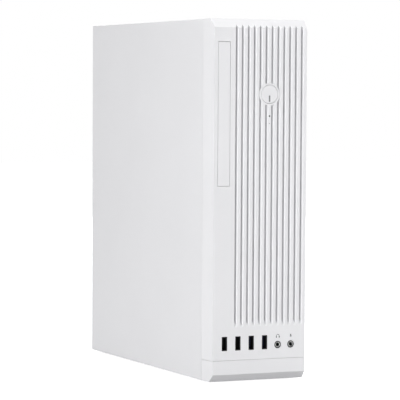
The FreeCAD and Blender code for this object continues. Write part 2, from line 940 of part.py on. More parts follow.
def processor():
    y = ("socket_y - 24", "socket_y + 24")
    z = ("socket_z - 24", "socket_z + 24")
    frame = on_board("socket_frame", "4.5", y, z)
    well = block(
        "socket_well",
        (f"{BOARD_FACE} - 5", f"{BOARD_FACE} - 2.4"),
        ("socket_y - 19", "socket_y + 19"),
        ("socket_z - 19", "socket_z + 19"),
    )
    publish("processor_socket", removed("socket_finished", frame, well))
    carrier = on_board(
        "carrier",
        "1.4",
        ("socket_y - 18.7", "socket_y + 18.7"),
        ("socket_z - 18.7", "socket_z + 18.7"),
        "2.4",
    )
    lid = on_board(
        "lid", "2.7", ("socket_y - 15", "socket_y + 15"), ("socket_z - 15", "socket_z + 15"), "3.8"
    )
    publish("processor", joined("processor_finished", carrier, lid))


COOLER_BASE = f"{BOARD_FACE} - 6.5"
COOLER_SPAN = "42"


def heat_sink():
    y = (f"socket_y - {COOLER_SPAN}", f"socket_y + {COOLER_SPAN}")
    z = (f"socket_z - {COOLER_SPAN}", f"socket_z + {COOLER_SPAN}")
    base = block("sink_base", (f"{COOLER_BASE} - 5", COOLER_BASE), y, z)
    fins = row_of(
        "fin",
        21,
        f"socket_z - {COOLER_SPAN}",
        "4.14",
        lambda name, low: block(
            name, (f"{COOLER_BASE} - 20", f"{COOLER_BASE} - 5"), y, (low, f"{low} + 1.2")
        ),
    )
    publish("heat_sink", joined("sink_finished", base, *fins))
    return [
        rod(
            f"cooler_post_{side}_{level}".replace("-", "m"),
            "x",
            (f"socket_y + {side} * 34", f"socket_z + {level} * 34"),
            "2.4",
            (COOLER_BASE, BOARD_FACE),
        )
        for side in (-1, 1)
        for level in (-1, 1)
    ]


def memory():
    slots = []
    modules = []
    for index in range(2):
        y = f"module_first - {index} * module_pitch - 8"
        body = on_board(f"slot_body_{index + 1}", "7.5", (f"{y} - 3.25", f"{y} + 3.25"), ("58", "202.2"))
        groove = block(
            f"slot_groove_{index + 1}",
            (f"{BOARD_FACE} - 9", f"{BOARD_FACE} - 2.5"),
            (f"{y} - 0.75", f"{y} + 0.75"),
            ("60.6", "196"),
        )
        latch_room = block(
            f"latch_room_{index + 1}",
            (f"{BOARD_FACE} - 9", f"{BOARD_FACE} - 0.6"),
            (f"{y} - 2.2", f"{y} + 2.2"),
            ("195.9", "203"),
        )
        pivot_hole = rod(
            f"pivot_hole_{index + 1}",
            "y",
            (f"{BOARD_FACE} - 2.4", "199.2"),
            "1.28",
            (f"{y} - 4", f"{y} + 4"),
        )
        slots.append(removed(f"slot_{index + 1}", body, groove, latch_room, pivot_hole))

        card = on_board(
            f"module_card_{index + 1}", "31.25", (f"{y} - 0.635", f"{y} + 0.635"), ("61", "194.35"), "2.5"
        )
        chips = [
            on_board(
                f"chip_{index + 1}_{number + 1}",
                "11",
                (f"{y} - 1.7", f"{y} + 1.7"),
                (f"66 + {number} * 15.8", f"76 + {number} * 15.8"),
                "13",
            )
            for number in range(8)
        ]
        modules.append(joined(f"module_{index + 1}", card, *chips))

        pin = rod(
            f"latch_pin_{index + 1}",
            "y",
            (f"{BOARD_FACE} - 2.4", "199.2"),
            "1.2",
            (f"{y} - 3.2", f"{y} + 3.2"),
        )
        arm = on_board(
            f"latch_arm_{index + 1}", "17", (f"{y} - 1.9", f"{y} + 1.9"), ("198.1", "200.3"), "2.4"
        )
        hook = on_board(
            f"latch_hook_{index + 1}", "3", (f"{y} - 1.9", f"{y} + 1.9"), ("194.9", "198.1"), "16.4"
        )
        publish(f"memory_latch_{index + 1}", joined(f"latch_{index + 1}", pin, arm, hook))
    publish("memory_slots", grouped("memory_slot_pair", *slots))
    publish("memory_modules", grouped("memory_module_pair", *modules))


def board_fittings():
    """Connectors, chips and parts soldered to the board."""
    slot_body = on_board("card_slot_body", "11", ("10", "99"), ("slot_z - 3.75", "slot_z + 3.75"))
    slot_groove = block(
        "card_slot_groove",
        (f"{BOARD_FACE} - 12", f"{BOARD_FACE} - 3"),
        ("12", "97"),
        ("slot_z - 0.9", "slot_z + 0.9"),
    )
    publish("expansion_slot", removed("card_slot", slot_body, slot_groove))

    sink_base = on_board("hub_base", "3", ("6", "34"), ("60", "88"), "1.5")
    sink_fins = row_of(
        "hub_fin",
        7,
        "60",
        "4.46",
        lambda name, z: on_board(name, "6", ("6", "34"), (z, f"{z} + 1.24"), "4.5"),
    )
    publish("chipset_heat_sink", joined("hub_sink", sink_base, *sink_fins))
    hub_chip = on_board("hub_chip", "1.5", ("9", "31"), ("63", "85"))

    cell_spot = ("88", "76")
    holder = rod("cell_holder_ring", "x", cell_spot, "12", (f"{BOARD_FACE} - 4.4", BOARD_FACE))
    pocket = rod("cell_pocket", "x", cell_spot, "10.1", (f"{BOARD_FACE} - 5", f"{BOARD_FACE} - 1.6"))
    publish(
        "coin_cell", rod("cell", "x", cell_spot, "10", (f"{BOARD_FACE} - 4.8", f"{BOARD_FACE} - 1.6"))
    )

    connectors = [
        on_board("power_header", "12.8", ("-30.6", "-20.6"), ("120", "171.6")),
        on_board("data_port_1", "9", ("-30", "-23.5"), ("88", "102")),
        on_board("data_port_2", "9", ("-30", "-23.5"), ("70", "84")),
        on_board("panel_header", "9", ("-30", "-24"), ("50", "62")),
        on_board("usb_header", "9", ("-18", "-12"), ("43", "55")),
        on_board("cooler_header", "9", ("112", "118"), ("176", "188")),
        on_board("exhaust_header", "9", ("94", "106"), ("197", "203")),
        on_board("processor_power", "12.8", ("50", "60"), ("192", "203.6")),
    ]
    publish(
        "board_connectors", grouped("connector_set", removed("cell_holder", holder, pocket), *connectors)
    )

    cans = [
        rod(f"can_{index + 1}", "x", (y, z), "3.6", (f"{BOARD_FACE} - 10", BOARD_FACE))
        for index, (y, z) in enumerate(
            [("114", f"{z}") for z in (104, 113, 122, 131)] + [(f"{y}", "189") for y in (22, 31, 40)]
        )
    ]
    chokes = [
        on_board(f"choke_{index + 1}", "6.5", ("111", "118"), (f"{z} - 3.6", f"{z} + 3.6"))
        for index, z in enumerate((144, 154, 164))
    ]
    publish("board_components", grouped("component_set", hub_chip, *cans, *chokes))


SOCKET_Y = ("120", "141.2")

# Rear sockets: how far each stands off the board, and its heights.
REAR_SOCKETS = {
    "usb": ("16", "181.8", "195"),
    "vga": ("12.5", "148", "179"),
    "digital": ("6.4", "129", "144.2"),
    "lan": ("13.6", "108.4", "124.4"),
    "audio": ("36", "78", "91"),
}


def rear_socket(name, y):
    height, low, high = REAR_SOCKETS[name]
    return on_board(name + "_body", height, y, (low, high))


def rear_sockets():
    """The stack of sockets along the board's rear edge, and the shield round them."""
    shield = block(
        "shield_plate",
        (f"{BOARD_FACE} + 2.04 - aperture_width + 0.4", f"{BOARD_FACE} + 2.04"),
        (f"{REAR_INNER} + 0.1", "rear_reach - 0.2"),
        ("aperture_low + 0.2", "aperture_low + aperture_length - 0.2"),
    )

    # Twin USB stack
    usb = rear_socket("usb", SOCKET_Y)
    usb_mouths = [
        block(
            f"usb_mouth_{index + 1}",
            (f"{BOARD_FACE} - {low} - 5.1", f"{BOARD_FACE} - {low}"),
            ("128", "142"),
            ("182.15", "194.65"),
        )
        for index, low in enumerate(("1.6", "9.4"))
    ]
    usb_tongues = [
        block(
            f"usb_tongue_{index + 1}",
            (f"{BOARD_FACE} - {low} - 2", f"{BOARD_FACE} - {low} - 0.3"),
            ("128", "139.6"),
            ("183.2", "193.6"),
        )
        for index, low in enumerate(("1.6", "9.4"))
    ]
    usb_stack = joined("usb_stack_finished", removed("usb_stack_open", usb, *usb_mouths), *usb_tongues)

    # Video sockets: a 15-pin D shape and a flat digital one
    vga = rear_socket("vga", ("122", REAR_INNER))
    vga_shell = block(
        "vga_shell",
        (f"{BOARD_FACE} - 10.6", f"{BOARD_FACE} - 2.2"),
        (REAR_INNER, "145"),
        ("155.2", "171.8"),
    )
    nuts = [
        hexagon(f"vga_nut_{index + 1}", "y", (f"{BOARD_FACE} - 6.4", z), "3", (REAR_INNER, "144.6"))
        for index, z in enumerate(("151", "176"))
    ]
    digital = rear_socket("digital", SOCKET_Y)
    digital_mouth = block(
        "digital_mouth",
        (f"{BOARD_FACE} - 5.7", f"{BOARD_FACE} - 0.9"),
        ("130", "142"),
        ("129.6", "143.6"),
    )
    digital_tongue = block(
        "digital_tongue",
        (f"{BOARD_FACE} - 3.9", f"{BOARD_FACE} - 2.4"),
        ("130", "139.8"),
        ("131", "142.2"),
    )
    publish(
        "rear_data_ports",
        grouped(
            "data_port_set",
            usb_stack,
            joined("vga", vga, vga_shell, *nuts),
            joined("digital", removed("digital_open", digital, digital_mouth), digital_tongue),
        ),
    )

    # Network socket
    lan = rear_socket("lan", SOCKET_Y)
    lan_mouth = block(
        "lan_mouth", (f"{BOARD_FACE} - 11.6", f"{BOARD_FACE} - 4.6"), ("127", "142"), ("110.5", "122.3")
    )
    lan_key = block(
        "lan_key", (f"{BOARD_FACE} - 4.6", f"{BOARD_FACE} - 2.6"), ("127", "142"), ("113.2", "119.6")
    )
    publish("lan_port", removed("lan_finished", lan, lan_mouth, lan_key))

    # Three audio jacks in a row away from the board
    _, audio_low, audio_high = REAR_SOCKETS["audio"]
    middle = f"({audio_low} + {audio_high}) / 2"
    jacks = []
    for index, depth in enumerate(("6", "18", "30")):
        centre = f"{BOARD_FACE} - {depth}"
        x = (f"{centre} - 5.9", f"{centre} + 5.9")
        housing = block(f"audio_housing_{index + 1}", x, SOCKET_Y, (audio_low, audio_high))
        bore = rod(f"audio_bore_{index + 1}", "y", (centre, middle), "plug_radius", ("126", "142"))
        jacks.append(removed(f"audio_jack_{index + 1}", housing, bore))
    publish("rear_audio_jacks", grouped("audio_jack_set", *jacks))

    openings = [
        block(
            f"shield_{name}",
            (f"{BOARD_FACE} - {height} - fit_gap", f"{BOARD_FACE} + fit_gap"),
            ("138", "142"),
            (f"{low} - fit_gap", f"{high} + fit_gap"),
        )
        for name, (height, low, high) in REAR_SOCKETS.items()
    ]
    publish("rear_socket_shield", removed("shield_finished", shield, *openings))


def main_board():
    posts, screws = motherboard()
    processor()
    publish("board_spacers", grouped("spacer_set", *posts, *heat_sink()))
    memory()
    board_fittings()
    rear_sockets()
    return screws


# ---------------------------------------------------------------- fans

def fan_frame(name, axis, centre, size, span, motor_at_end):
    """A square fan housing: round duct, four struts and the motor's seat at one face."""
    low = [f"{c} - ({size}) / 2" for c in centre]
    high = [f"{c} + ({size}) / 2" for c in centre]
    sides = list(zip(low, high))
    spans = list(sides)
    spans.insert("xyz".index(axis), span)
    shell = block(name + "_square", *spans)
    through = (f"{span[0]} - 1", f"{span[1]} + 1")
    duct = rod(name + "_duct", axis, centre, f"({size}) / 2 - 1.6", through)
    corner = f"({size}) / 2 - 5"
    holes = [
        rod(
            f"{name}_hole_{index + 1}",
            axis,
            (f"{centre[0]} + {a} * ({corner})", f"{centre[1]} + {b} * ({corner})"),
            "1.9",
            through,
        )
        for index, (a, b) in enumerate(((-1, -1), (-1, 1), (1, -1), (1, 1)))
    ]
    seat_span = (f"{span[1]} - 2.2", span[1]) if motor_at_end else (span[0], f"{span[0]} + 2.2")
    seat = rod(name + "_seat", axis, centre, f"({size}) * 0.2", seat_span)
    struts = []
    for index in range(2):
        wide = [[f"{c} - 1.2", f"{c} + 1.2"] for c in centre]
        wide[index] = [f"{centre[index]} - ({size}) / 2 + 1", f"{centre[index]} + ({size}) / 2 - 1"]
        wide.insert("xyz".index(axis), seat_span)
        struts.append(block(f"{name}_strut_{index + 1}", *wide))
    return joined(name, removed(name + "_shell", shell, duct, *holes), seat, *struts)


def fan_rotor(name, axis, centre, size, span, blades):
    """A hub with swept, twisted blades, each lofted through three stations."""
    size_now = value_of(size)
    start = value_of(span[0])
    depth = value_of(span[1]) - start
    hub_radius = size_now * 0.2
    tip_radius = size_now / 2 - 2.2
    hub = Part.makeCylinder(hub_radius, depth)
    hub = hub.makeFillet(
        1.0,
        [edge for edge in hub.Edges if edge.BoundBox.ZLength < 0.01 and edge.BoundBox.ZMin > depth / 2],
    )
    shape = hub
    stations = (
        (hub_radius - 0.6, 0.0, 44.0),
        ((hub_radius + tip_radius) / 2, 7.0, 34.0),
        (tip_radius + 1, 16.0, 26.0),
    )
    sections = []
    for radius, sweep, pitch in stations:
        chord = min((depth - 2.0) / math.sin(math.radians(pitch)), radius * 2 * math.pi / blades * 0.86)
        along_chord = FreeCAD.Vector(0, math.cos(math.radians(pitch)), math.sin(math.radians(pitch)))
        across = FreeCAD.Vector(0, -along_chord.z, along_chord.y)
        middle = FreeCAD.Vector(radius, 0, depth / 2)
        corners = [
            middle + along_chord * (chord * u) + across * (v * 0.55)
            for u, v in ((-0.5, -0.4), (0.0, 0.35), (0.5, -0.4), (0.5, 0.4), (0.0, 1.6), (-0.5, 0.4))
        ]
        wire = Part.makePolygon(corners + corners[:1])
        wire.rotate(FreeCAD.Vector(0, 0, 0), FreeCAD.Vector(0, 0, 1), sweep)
        sections.append(wire)
    blade = Part.makeLoft(sections, True, True).common(Part.makeCylinder(tip_radius, depth))
    for index in range(blades):
        turned = blade.copy()
        turned.rotate(FreeCAD.Vector(0, 0, 0), FreeCAD.Vector(0, 0, 1), 360 * index / blades)
        shape = shape.fuse(turned)
    item = shape_item(name, shape)
    item.Placement = FreeCAD.Placement(
        FreeCAD.Vector(*[value_of(c) for c in along(axis, centre, span[0])]),
        TURN_TO[axis],
    )
    return item


def fans():
    exhaust = ("exhaust_x", "exhaust_z")
    y = (f"{REAR_INNER} - fan_depth", REAR_INNER)
    publish("exhaust_fan_frame", fan_frame("exhaust_frame", "y", exhaust, "exhaust_size", y, True))
    publish(
        "exhaust_fan_rotor",
        fan_rotor("exhaust_rotor", "y", exhaust, "exhaust_size", (f"{y[0]} + 1", f"{y[1]} - 2.6"), 7),
    )

    cooler = ("socket_y", "socket_z")
    x = (f"{COOLER_BASE} - 20 - fan_depth", f"{COOLER_BASE} - 20")
    publish("cooler_fan_frame", fan_frame("cooler_frame", "x", cooler, "cooler_fan_size", x, True))
    publish(
        "cooler_fan_rotor",
        fan_rotor("cooler_rotor", "x", cooler, "cooler_fan_size", (f"{x[0]} + 1", f"{x[1]} - 2.6"), 7),
    )

    y = (f"{REAR_INNER} - sheet - fan_depth", f"{REAR_INNER} - sheet")
    size = "supply_fan_size - 1.6"
    publish("supply_fan_frame", fan_frame("supply_frame", "y", SUPPLY_FAN, size, y, False))
    publish(
        "supply_fan_rotor",
        fan_rotor("supply_rotor", "y", SUPPLY_FAN, size, (f"{y[0]} + 2.6", f"{y[1]} - 1"), 7),
    )


# ---------------------------------------------------------------- power supply

INLET_X = ("-31.4", "-4.4")
INLET_Z = ("supply_low + 1.8", "supply_low + 21.8")
ROCKER_X = ("-27", "-9")
ROCKER_Z = ("supply_low + 24", "supply_low + 36")
ROCKER_PIVOT = ("rear_reach + 0.2", "supply_low + 30")


def power_supply():
    x = ("-supply_left", SUPPLY_RIGHT)
    y = (SUPPLY_FRONT, REAR_INNER)
    z = ("supply_low", SUPPLY_HIGH)
    shell = block("supply_box", x, y, z)
    hollow = block("supply_hollow", *[(f"{low} + sheet", f"{high} - sheet") for low, high in (x, y, z)])
    through = (f"{REAR_INNER} - 2", f"{REAR_INNER} + 1")
    cuts = [
        hollow,
        block(
            "supply_inlet_cut",
            (f"{INLET_X[0]} + 1.5", f"{INLET_X[1]} - 1.5"),
            through,
            (f"{INLET_Z[0]} + 1.3", f"{INLET_Z[1]} - 1.3"),
        ),
        block(
            "supply_rocker_cut",
            (f"{ROCKER_X[0]} + 1.5", f"{ROCKER_X[1]} - 1.5"),
            through,
            (f"{ROCKER_Z[0]} + 1.2", f"{ROCKER_Z[1]} - 1.2"),
        ),
        grille("supply_grille", SUPPLY_FAN, "18", through, 7),
        rod(
            "supply_lead_hole",
            "y",
            ("22", "supply_low + 12"),
            "7",
            (f"{SUPPLY_FRONT} - 1", f"{SUPPLY_FRONT} + 2"),
        ),
    ]
    cuts += row_of(
        "supply_vent",
        8,
        "-36",
        "6",
        lambda name, low: block(
            name,
            (low, f"{low} + 3"),
            (f"{SUPPLY_FRONT} - 1", f"{SUPPLY_FRONT} + 2"),
            ("supply_low + 6", "supply_low + 34"),
        ),
    )
    publish("supply_case", removed("supply_finished", shell, *cuts))

    card = block(
        "supply_card",
        ("-37", "16"),
        (f"{SUPPLY_FRONT} + 6", "110"),
        ("supply_low + 4", "supply_low + 5.6"),
    )
    parts = [
        block("supply_transformer", ("-14", "10"), ("40", "66"), ("supply_low + 5.6", "supply_low + 31")),
        block("supply_sink_1", ("-33", "-30"), ("20", "95"), ("supply_low + 5.6", "supply_low + 34")),
        block("supply_sink_2", ("12", "14.5"), ("0", "34"), ("supply_low + 5.6", "supply_low + 32")),
        rod("supply_can", "z", ("-14", "88"), "11", ("supply_low + 5.6", "supply_low + 34")),
        rod("supply_choke", "z", ("-16", "18"), "9", ("supply_low + 5.6", "supply_low + 20")),
    ]
    publish("supply_circuit", joined("supply_circuit_set", card, *parts))

    inlet_body = block(
        "inlet_body",
        (f"{INLET_X[0]} + 1.7", f"{INLET_X[1]} - 1.7"),
        ("121", REAR_INNER),
        (f"{INLET_Z[0]} + 1.5", f"{INLET_Z[1]} - 1.5"),
    )
    inlet_flange = block("inlet_flange", INLET_X, (REAR_INNER, "rear_reach + 0.8"), INLET_Z)
    inlet_cavity = block(
        "inlet_cavity",
        (f"{INLET_X[0]} + 2.9", f"{INLET_X[1]} - 2.9"),
        ("124", "rear_reach + 2"),
        (f"{INLET_Z[0]} + 2.7", f"{INLET_Z[1]} - 2.7"),
    )
    middle = f"({INLET_X[0]} + ({INLET_X[1]})) / 2"
    blades = [
        block(
            f"inlet_blade_{index + 1}",
            (f"{middle} + {shift} - 1", f"{middle} + {shift} + 1"),
            ("124", "rear_reach - 3"),
            (f"{INLET_Z[0]} + {rise} - 2", f"{INLET_Z[0]} + {rise} + 2"),
        )
        for index, (shift, rise) in enumerate(((-7, 5.6), (0, 8.2), (7, 5.6)))
    ]
    publish(
        "power_inlet",
        removed("inlet_finished", joined("inlet_block", inlet_body, inlet_flange), inlet_cavity),
    )
    publish("inlet_pins", grouped("inlet_pin_set", *blades))

    frame = block("rocker_frame", ROCKER_X, (REAR_INNER, "rear_reach + 0.8"), ROCKER_Z)
    body = block(
        "rocker_body",
        (f"{ROCKER_X[0]} + 1.7", f"{ROCKER_X[1]} - 1.7"),
        ("124", REAR_INNER),
        (f"{ROCKER_Z[0]} + 1.4", f"{ROCKER_Z[1]} - 1.4"),
    )
    well = block(
        "rocker_well",
        (f"{ROCKER_X[0]} + 2.2", f"{ROCKER_X[1]} - 2.2"),
        ("132", "rear_reach + 2"),
        (f"{ROCKER_Z[0]} + 1.9", f"{ROCKER_Z[1]} - 1.9"),
    )
    publish(
        "switch_frame", removed("rocker_frame_finished", joined("rocker_frame_block", frame, body), well)
    )

    rocker = doc.addObject("Part::Box", "rocker_block")
    bind(rocker, Length=f"({ROCKER_X[1]}) - ({ROCKER_X[0]}) - 5.2", Width="5.6", Height="6.6")
    dish = doc.addObject("Part::Cylinder", "rocker_dish")
    dish.Placement.Rotation = TURN_TO["x"]
    bind(dish, Radius="9", Height="30")
    place(dish, "-5", "13.2", "3.3")
    tilt = 8
    key = removed("rocker_key", rocker, dish)
    key.Placement = FreeCAD.Placement(FreeCAD.Vector(), FreeCAD.Rotation(FreeCAD.Vector(1, 0, 0), tilt))
    cosine = math.cos(math.radians(tilt))
    sine = math.sin(math.radians(tilt))
    place(
        key,
        f"{ROCKER_X[0]} + 2.6",
        f"{ROCKER_PIVOT[0]} - 2.8 * {cosine:.5f} + 3.3 * {sine:.5f}",
        f"{ROCKER_PIVOT[1]} - 2.8 * {sine:.5f} - 3.3 * {cosine:.5f}",
    )
    publish("supply_rocker", key)


def rear_screws():
    screws = slot_screws()
    for index, spot in enumerate(exhaust_screw_spots()):
        head = cone(
            f"fan_screw_head_{index + 1}", "y", spot, ("3.6", "2.4"), ("rear_reach", "rear_reach + 1.8")
        )
        shank = rod(f"fan_screw_shank_{index + 1}", "y", spot, "1.7", ("rear_reach - 9", "rear_reach"))
        screws.append(joined(f"fan_screw_{index + 1}", head, shank))
    for index, spot in enumerate(SUPPLY_SCREW_SPOTS):
        screws.append(
            cone(f"supply_screw_{index + 1}", "y", spot, ("2.8", "2"), ("rear_reach", "rear_reach + 1.6"))
        )
    publish("rear_screws", grouped("rear_screw_set", *screws))


# ---------------------------------------------------------------- drives and front electronics

def hard_drive():
    x = ("-cage_web", "drive_thick - cage_web")
    y = ("-122", "drive_length - 122")
    z = ("drive_low", "drive_low + drive_width")
    casting = block("drive_casting", ("5 - cage_web", x[1]), y, z)
    board = block(
        "drive_card",
        ("1.4 - cage_web", "3 - cage_web"),
        (f"{y[0]} + 8", f"{y[1]} - 1"),
        (f"{z[0]} + 12", f"{z[1]} - 12"),
    )
    rails = [
        block(f"drive_rail_{level}", (x[0], "5 - cage_web"), y, (low, f"{low} + 5"))
        for level, low in (("low", z[0]), ("high", f"{z[1]} - 5"))
    ]
    lid_step = block(
        "drive_lid_step",
        (f"{x[1]} - 1.2", f"{x[1]} + 1"),
        (f"{y[1]} - 22", f"{y[1]} + 1"),
        (f"{z[0]} - 1", f"{z[1]} + 1"),
    )
    socket = block(
        "drive_socket",
        ("3 - cage_web", "9 - cage_web"),
        (f"{y[1]} - 6", f"{y[1]} + 1"),
        (f"{z[0]} + 14", f"{z[0]} + 58"),
    )
    body = removed("drive_finished", joined("drive_body", casting, *rails), lid_step, socket)
    publish("hard_drive", grouped("drive_set", body, board))
    screws = []
    for index, (screw_y, screw_z) in enumerate(
        (
            (f"{y[0]} + 28", f"{z[0]} + 2.5"),
            (f"{y[0]} + 70", f"{z[0]} + 2.5"),
            (f"{y[0]} + 28", f"{z[1]} - 2.5"),
            (f"{y[0]} + 70", f"{z[1]} - 2.5"),
        )
    ):
        screws.append(
            cone(
                f"drive_screw_{index + 1}",
                "x",
                (screw_y, screw_z),
                ("2.2", "3.2"),
                ("-cage_web - sheet - 1.6", "-cage_web - sheet"),
            )
        )
    return screws


def front_sockets():
    card = block("front_card", ("-47", "46"), CARD_Y, ("26", "48.5"))
    publish("front_socket_board", card)
    shells = []
    tongues = []
    for index in range(4):
        centre = usb_centre(index)
        outer = block(
            f"front_usb_outer_{index + 1}",
            (f"{centre} - 2.95", f"{centre} + 2.95"),
            (f"{FACE_INNER} + 0.2", CARD_Y[0]),
            ("usb_z - 6.65", "usb_z + 6.65"),
        )
        half_width = "(usb_width / 2 - 0.1)"
        half_length = "(usb_length / 2 - 0.1)"
        nose = block(
            f"front_usb_nose_{index + 1}",
            (f"{centre} - {half_width}", f"{centre} + {half_width}"),
            ("0.3 - front_reach", f"{FACE_INNER} + 0.2"),
            (f"usb_z - {half_length}", f"usb_z + {half_length}"),
        )
        mouth = block(
            f"front_usb_mouth_{index + 1}",
            (f"{centre} - {half_width} + usb_wall", f"{centre} + {half_width} - usb_wall"),
            (FRONT, "20 - front_reach"),
            (f"usb_z - {half_length} + usb_wall", f"usb_z + {half_length} - usb_wall"),
        )
        body = joined(f"front_usb_block_{index + 1}", outer, nose)
        shells.append(removed(f"front_usb_shell_{index + 1}", body, mouth))
        tongues.append(
            block(
                f"front_usb_tongue_{index + 1}",
                (f"{centre} + 0.3", f"{centre} + 1.9"),
                ("5 - front_reach", "20 - front_reach"),
                ("usb_z - 5.6", "usb_z + 5.6"),
            )
        )
    publish("front_usb_ports", grouped("front_usb_set", *shells))
    publish("front_usb_tongues", grouped("front_tongue_set", *tongues))

    jacks = []
    for index in range(2):
        centre = (jack_centre(index), "jack_z")
        nose = rod(
            f"jack_nose_{index + 1}", "y", centre, "3.25", ("0.3 - front_reach", "6 - front_reach")
        )
        body = block(
            f"jack_body_{index + 1}",
            (f"{centre[0]} - 4.4", f"{centre[0]} + 4.4"),
            ("6 - front_reach", CARD_Y[0]),
            ("jack_z - 5", "jack_z + 5"),
        )
        bore = rod(
            f"jack_bore_{index + 1}", "y", centre, "plug_radius", ("-front_reach", "15 - front_reach")
        )
        jacks.append(removed(f"jack_{index + 1}", joined(f"jack_block_{index + 1}", nose, body), bore))
    publish("front_audio_jacks", grouped("front_jack_set", *jacks))


def front_switches():
    card = block("switch_card", ("-9", "27"), CARD_Y, ("231", "276"))
    power_centre = ("button_x", "button_z")
    reset_centre = ("button_x", "reset_z")
    switches = []
    for label, (x, z), plunger in (("power", power_centre, "17.4"), ("reset", reset_centre, "18.2")):
        can = block(
            f"{label}_switch_can",
            (f"{x} - 3", f"{x} + 3"),
            ("19.2 - front_reach", CARD_Y[0]),
            (f"{z} - 3", f"{z} + 3"),
        )
        tip = rod(
            f"{label}_switch_tip", "y", (x, z), "1.7", (f"{plunger} - front_reach", "19.2 - front_reach")
        )
        switches.append(joined(f"{label}_switch", can, tip))
    lamp = rod("activity_lamp", "y", ("button_x", "lamp_z"), "1.5", ("20.4 - front_reach", CARD_Y[0]))
    publish("switch_board", joined("switch_board_set", card, *switches, lamp))


def card_screws():
    return [
        rod(f"card_fixing_{index + 1}", "y", spot, "2.4", (CARD_Y[1], f"{CARD_Y[1]} + 1.6"))
        for index, spot in enumerate(SOCKET_CARD_SCREWS + SWITCH_CARD_SCREWS)
    ]


# ---------------------------------------------------------------- cables inside the case

def cable_shape(points, radius):
    """Straight runs joined by tangent arcs, each as large as its two runs allow."""
    spots = [FreeCAD.Vector(*point) for point in points]
    edges = []
    here = spots[0]
    smallest = None
    for before, corner, after in zip(spots, spots[1:], spots[2:]):
        arriving = corner - before
        leaving = after - corner
        turn = arriving.getAngle(leaving)
        reach = 0.45 * min(arriving.Length, leaving.Length)
        bend = reach / math.tan(turn / 2)
        smallest = bend if smallest is None else min(smallest, bend)
        into = arriving.normalize()
        out = leaving.normalize()
        arc_start = corner - into * reach
        arc_end = corner + out * reach
        to_centre = (out - into).normalize()
        centre = corner + to_centre * (bend / math.cos(turn / 2))
        middle = centre - to_centre * bend
        edges.append(Part.LineSegment(here, arc_start).toShape())
        edges.append(Part.Arc(arc_start, middle, arc_end).toShape())
        here = arc_end
    edges.append(Part.LineSegment(here, spots[-1]).toShape())
    path = Part.Wire(edges)
    circle = Part.makeCircle(radius, spots[0], spots[1] - spots[0])
    tube = path.makePipeShell([Part.Wire([circle])], True, True)
    expected = math.pi * radius**2 * path.Length
    ratio = tube.Volume / expected
    print(f"  length {path.Length:.1f}, smallest bend {smallest:.1f}, volume ratio {ratio:.4f}")
    return tube


# Each lead's radius and its route's points.
CABLES = {
    "power_loom": (
        4.5,
        [
            (22, -9, 301.5),
            (22, -27, 301.5),
            (20, -44, 293),
            (16, -54, 271),
            (11.5, -56, 243),
            (7, -53, 213),
            (2.5, -43, 186),
            (-2.5, -31, 163),
            (-1, -25.6, 146),
            (15, -25.6, 146),
        ],
    ),
    "data_cable": (
        2.2,
        [
            (-23, 41, 206),
            (-23, 55, 206),
            (-21, 63, 191),
            (-19, 60, 164),
            (-18, 46, 138),
            (-14, 26, 116),
            (-8, 4, 101),
            (-4, -18, 94),
            (4, -26.7, 95),
            (18, -26.7, 95),
        ],
    ),
    "front_usb_cable": (
        2.2,
        [
            (12, -124.9, 32),
            (12, -112, 32),
            (13, -91, 27),
            (17, -66, 24),
            (17, -43, 28),
            (11, -25, 38),
            (8, -15, 49),
            (19, -15, 49),
        ],
    ),
    "switch_cable": (
        1.6,
        [
            (12, -124.9, 248),
            (12, -114, 248),
            (13, -101, 232),
            (15, -92, 204),
            (15, -87, 170),
            (14, -80, 136),
            (13, -68, 106),
            (12, -54, 82),
            (9, -38, 65),
            (8, -27, 56),
            (18, -27, 56),
        ],
    ),
}


def cables():
    """Leads that lie inside the case, each a smooth tube between two plugs."""
    for name, (radius, points) in CABLES.items():
        print(name)
        publish(name, shape_item(name + "_tube", cable_shape(points, radius)))
    plugs = [
        block("loom_plug", ("15", f"{BOARD_FACE} - 12.8"), ("-30.6", "-20.6"), ("120", "171.6")),
        block("data_plug_drive", ("-26", "-20"), ("25", "41"), ("200", "212")),
        block("data_plug_board", ("18", f"{BOARD_FACE} - 9"), ("-30", "-23.5"), ("88", "102")),
        block("switch_plug", ("18", f"{BOARD_FACE} - 9"), ("-30", "-24"), ("50", "62")),
        block("usb_plug", ("19", f"{BOARD_FACE} - 9"), ("-18", "-12"), ("43", "55")),
    ]
    publish("cable_plugs", grouped("plug_set", *plugs))


# ---------------------------------------------------------------- build and write

front_plastics()
chassis()
cover()
thumbscrews()
board_screws = main_board()
fans()
power_supply()
rear_screws()
drive_screws = hard_drive()
front_sockets()
front_switches()
publish("inner_screws", grouped("inner_screw_set", *board_screws, *drive_screws, *card_screws()))
cables()

doc.recompute()
faults = [item.Name for item in doc.Objects if {"Invalid", "Error"} & set(item.State)]
faults += [node for node, item in nodes.items() if item.Shape.isNull() or not item.Shape.isValid()]
if faults:
    raise RuntimeError(f"these objects failed: {faults}")
if len(nodes) > NODE_LIMIT:
    raise RuntimeError(f"{len(nodes)} nodes are more than {NODE_LIMIT}")

os.makedirs("parts", exist_ok=True)
for old in os.listdir("parts"):
    os.remove(os.path.join("parts", old))
for node, item in nodes.items():
    item.Shape.exportStep(f"parts/{node}.step")
    box = item.Shape.BoundBox
    print(
        f"{node:24s} solids {len(item.Shape.Solids):3d}  x {box.XMin:7.2f} {box.XMax:7.2f}"
        f"  y {box.YMin:8.2f} {box.YMax:8.2f}  z {box.ZMin:7.2f} {box.ZMax:7.2f}"
    )
print(len(nodes), "nodes")
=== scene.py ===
"""Looks for the slim desktop tower: materials for every CAD piece, the small details that CAD leaves
out, and a studio with the viewing angle of a product picture. All lengths are in metres."""

import math
import random

import bmesh
import bpy
from mathutils import Matrix, Vector


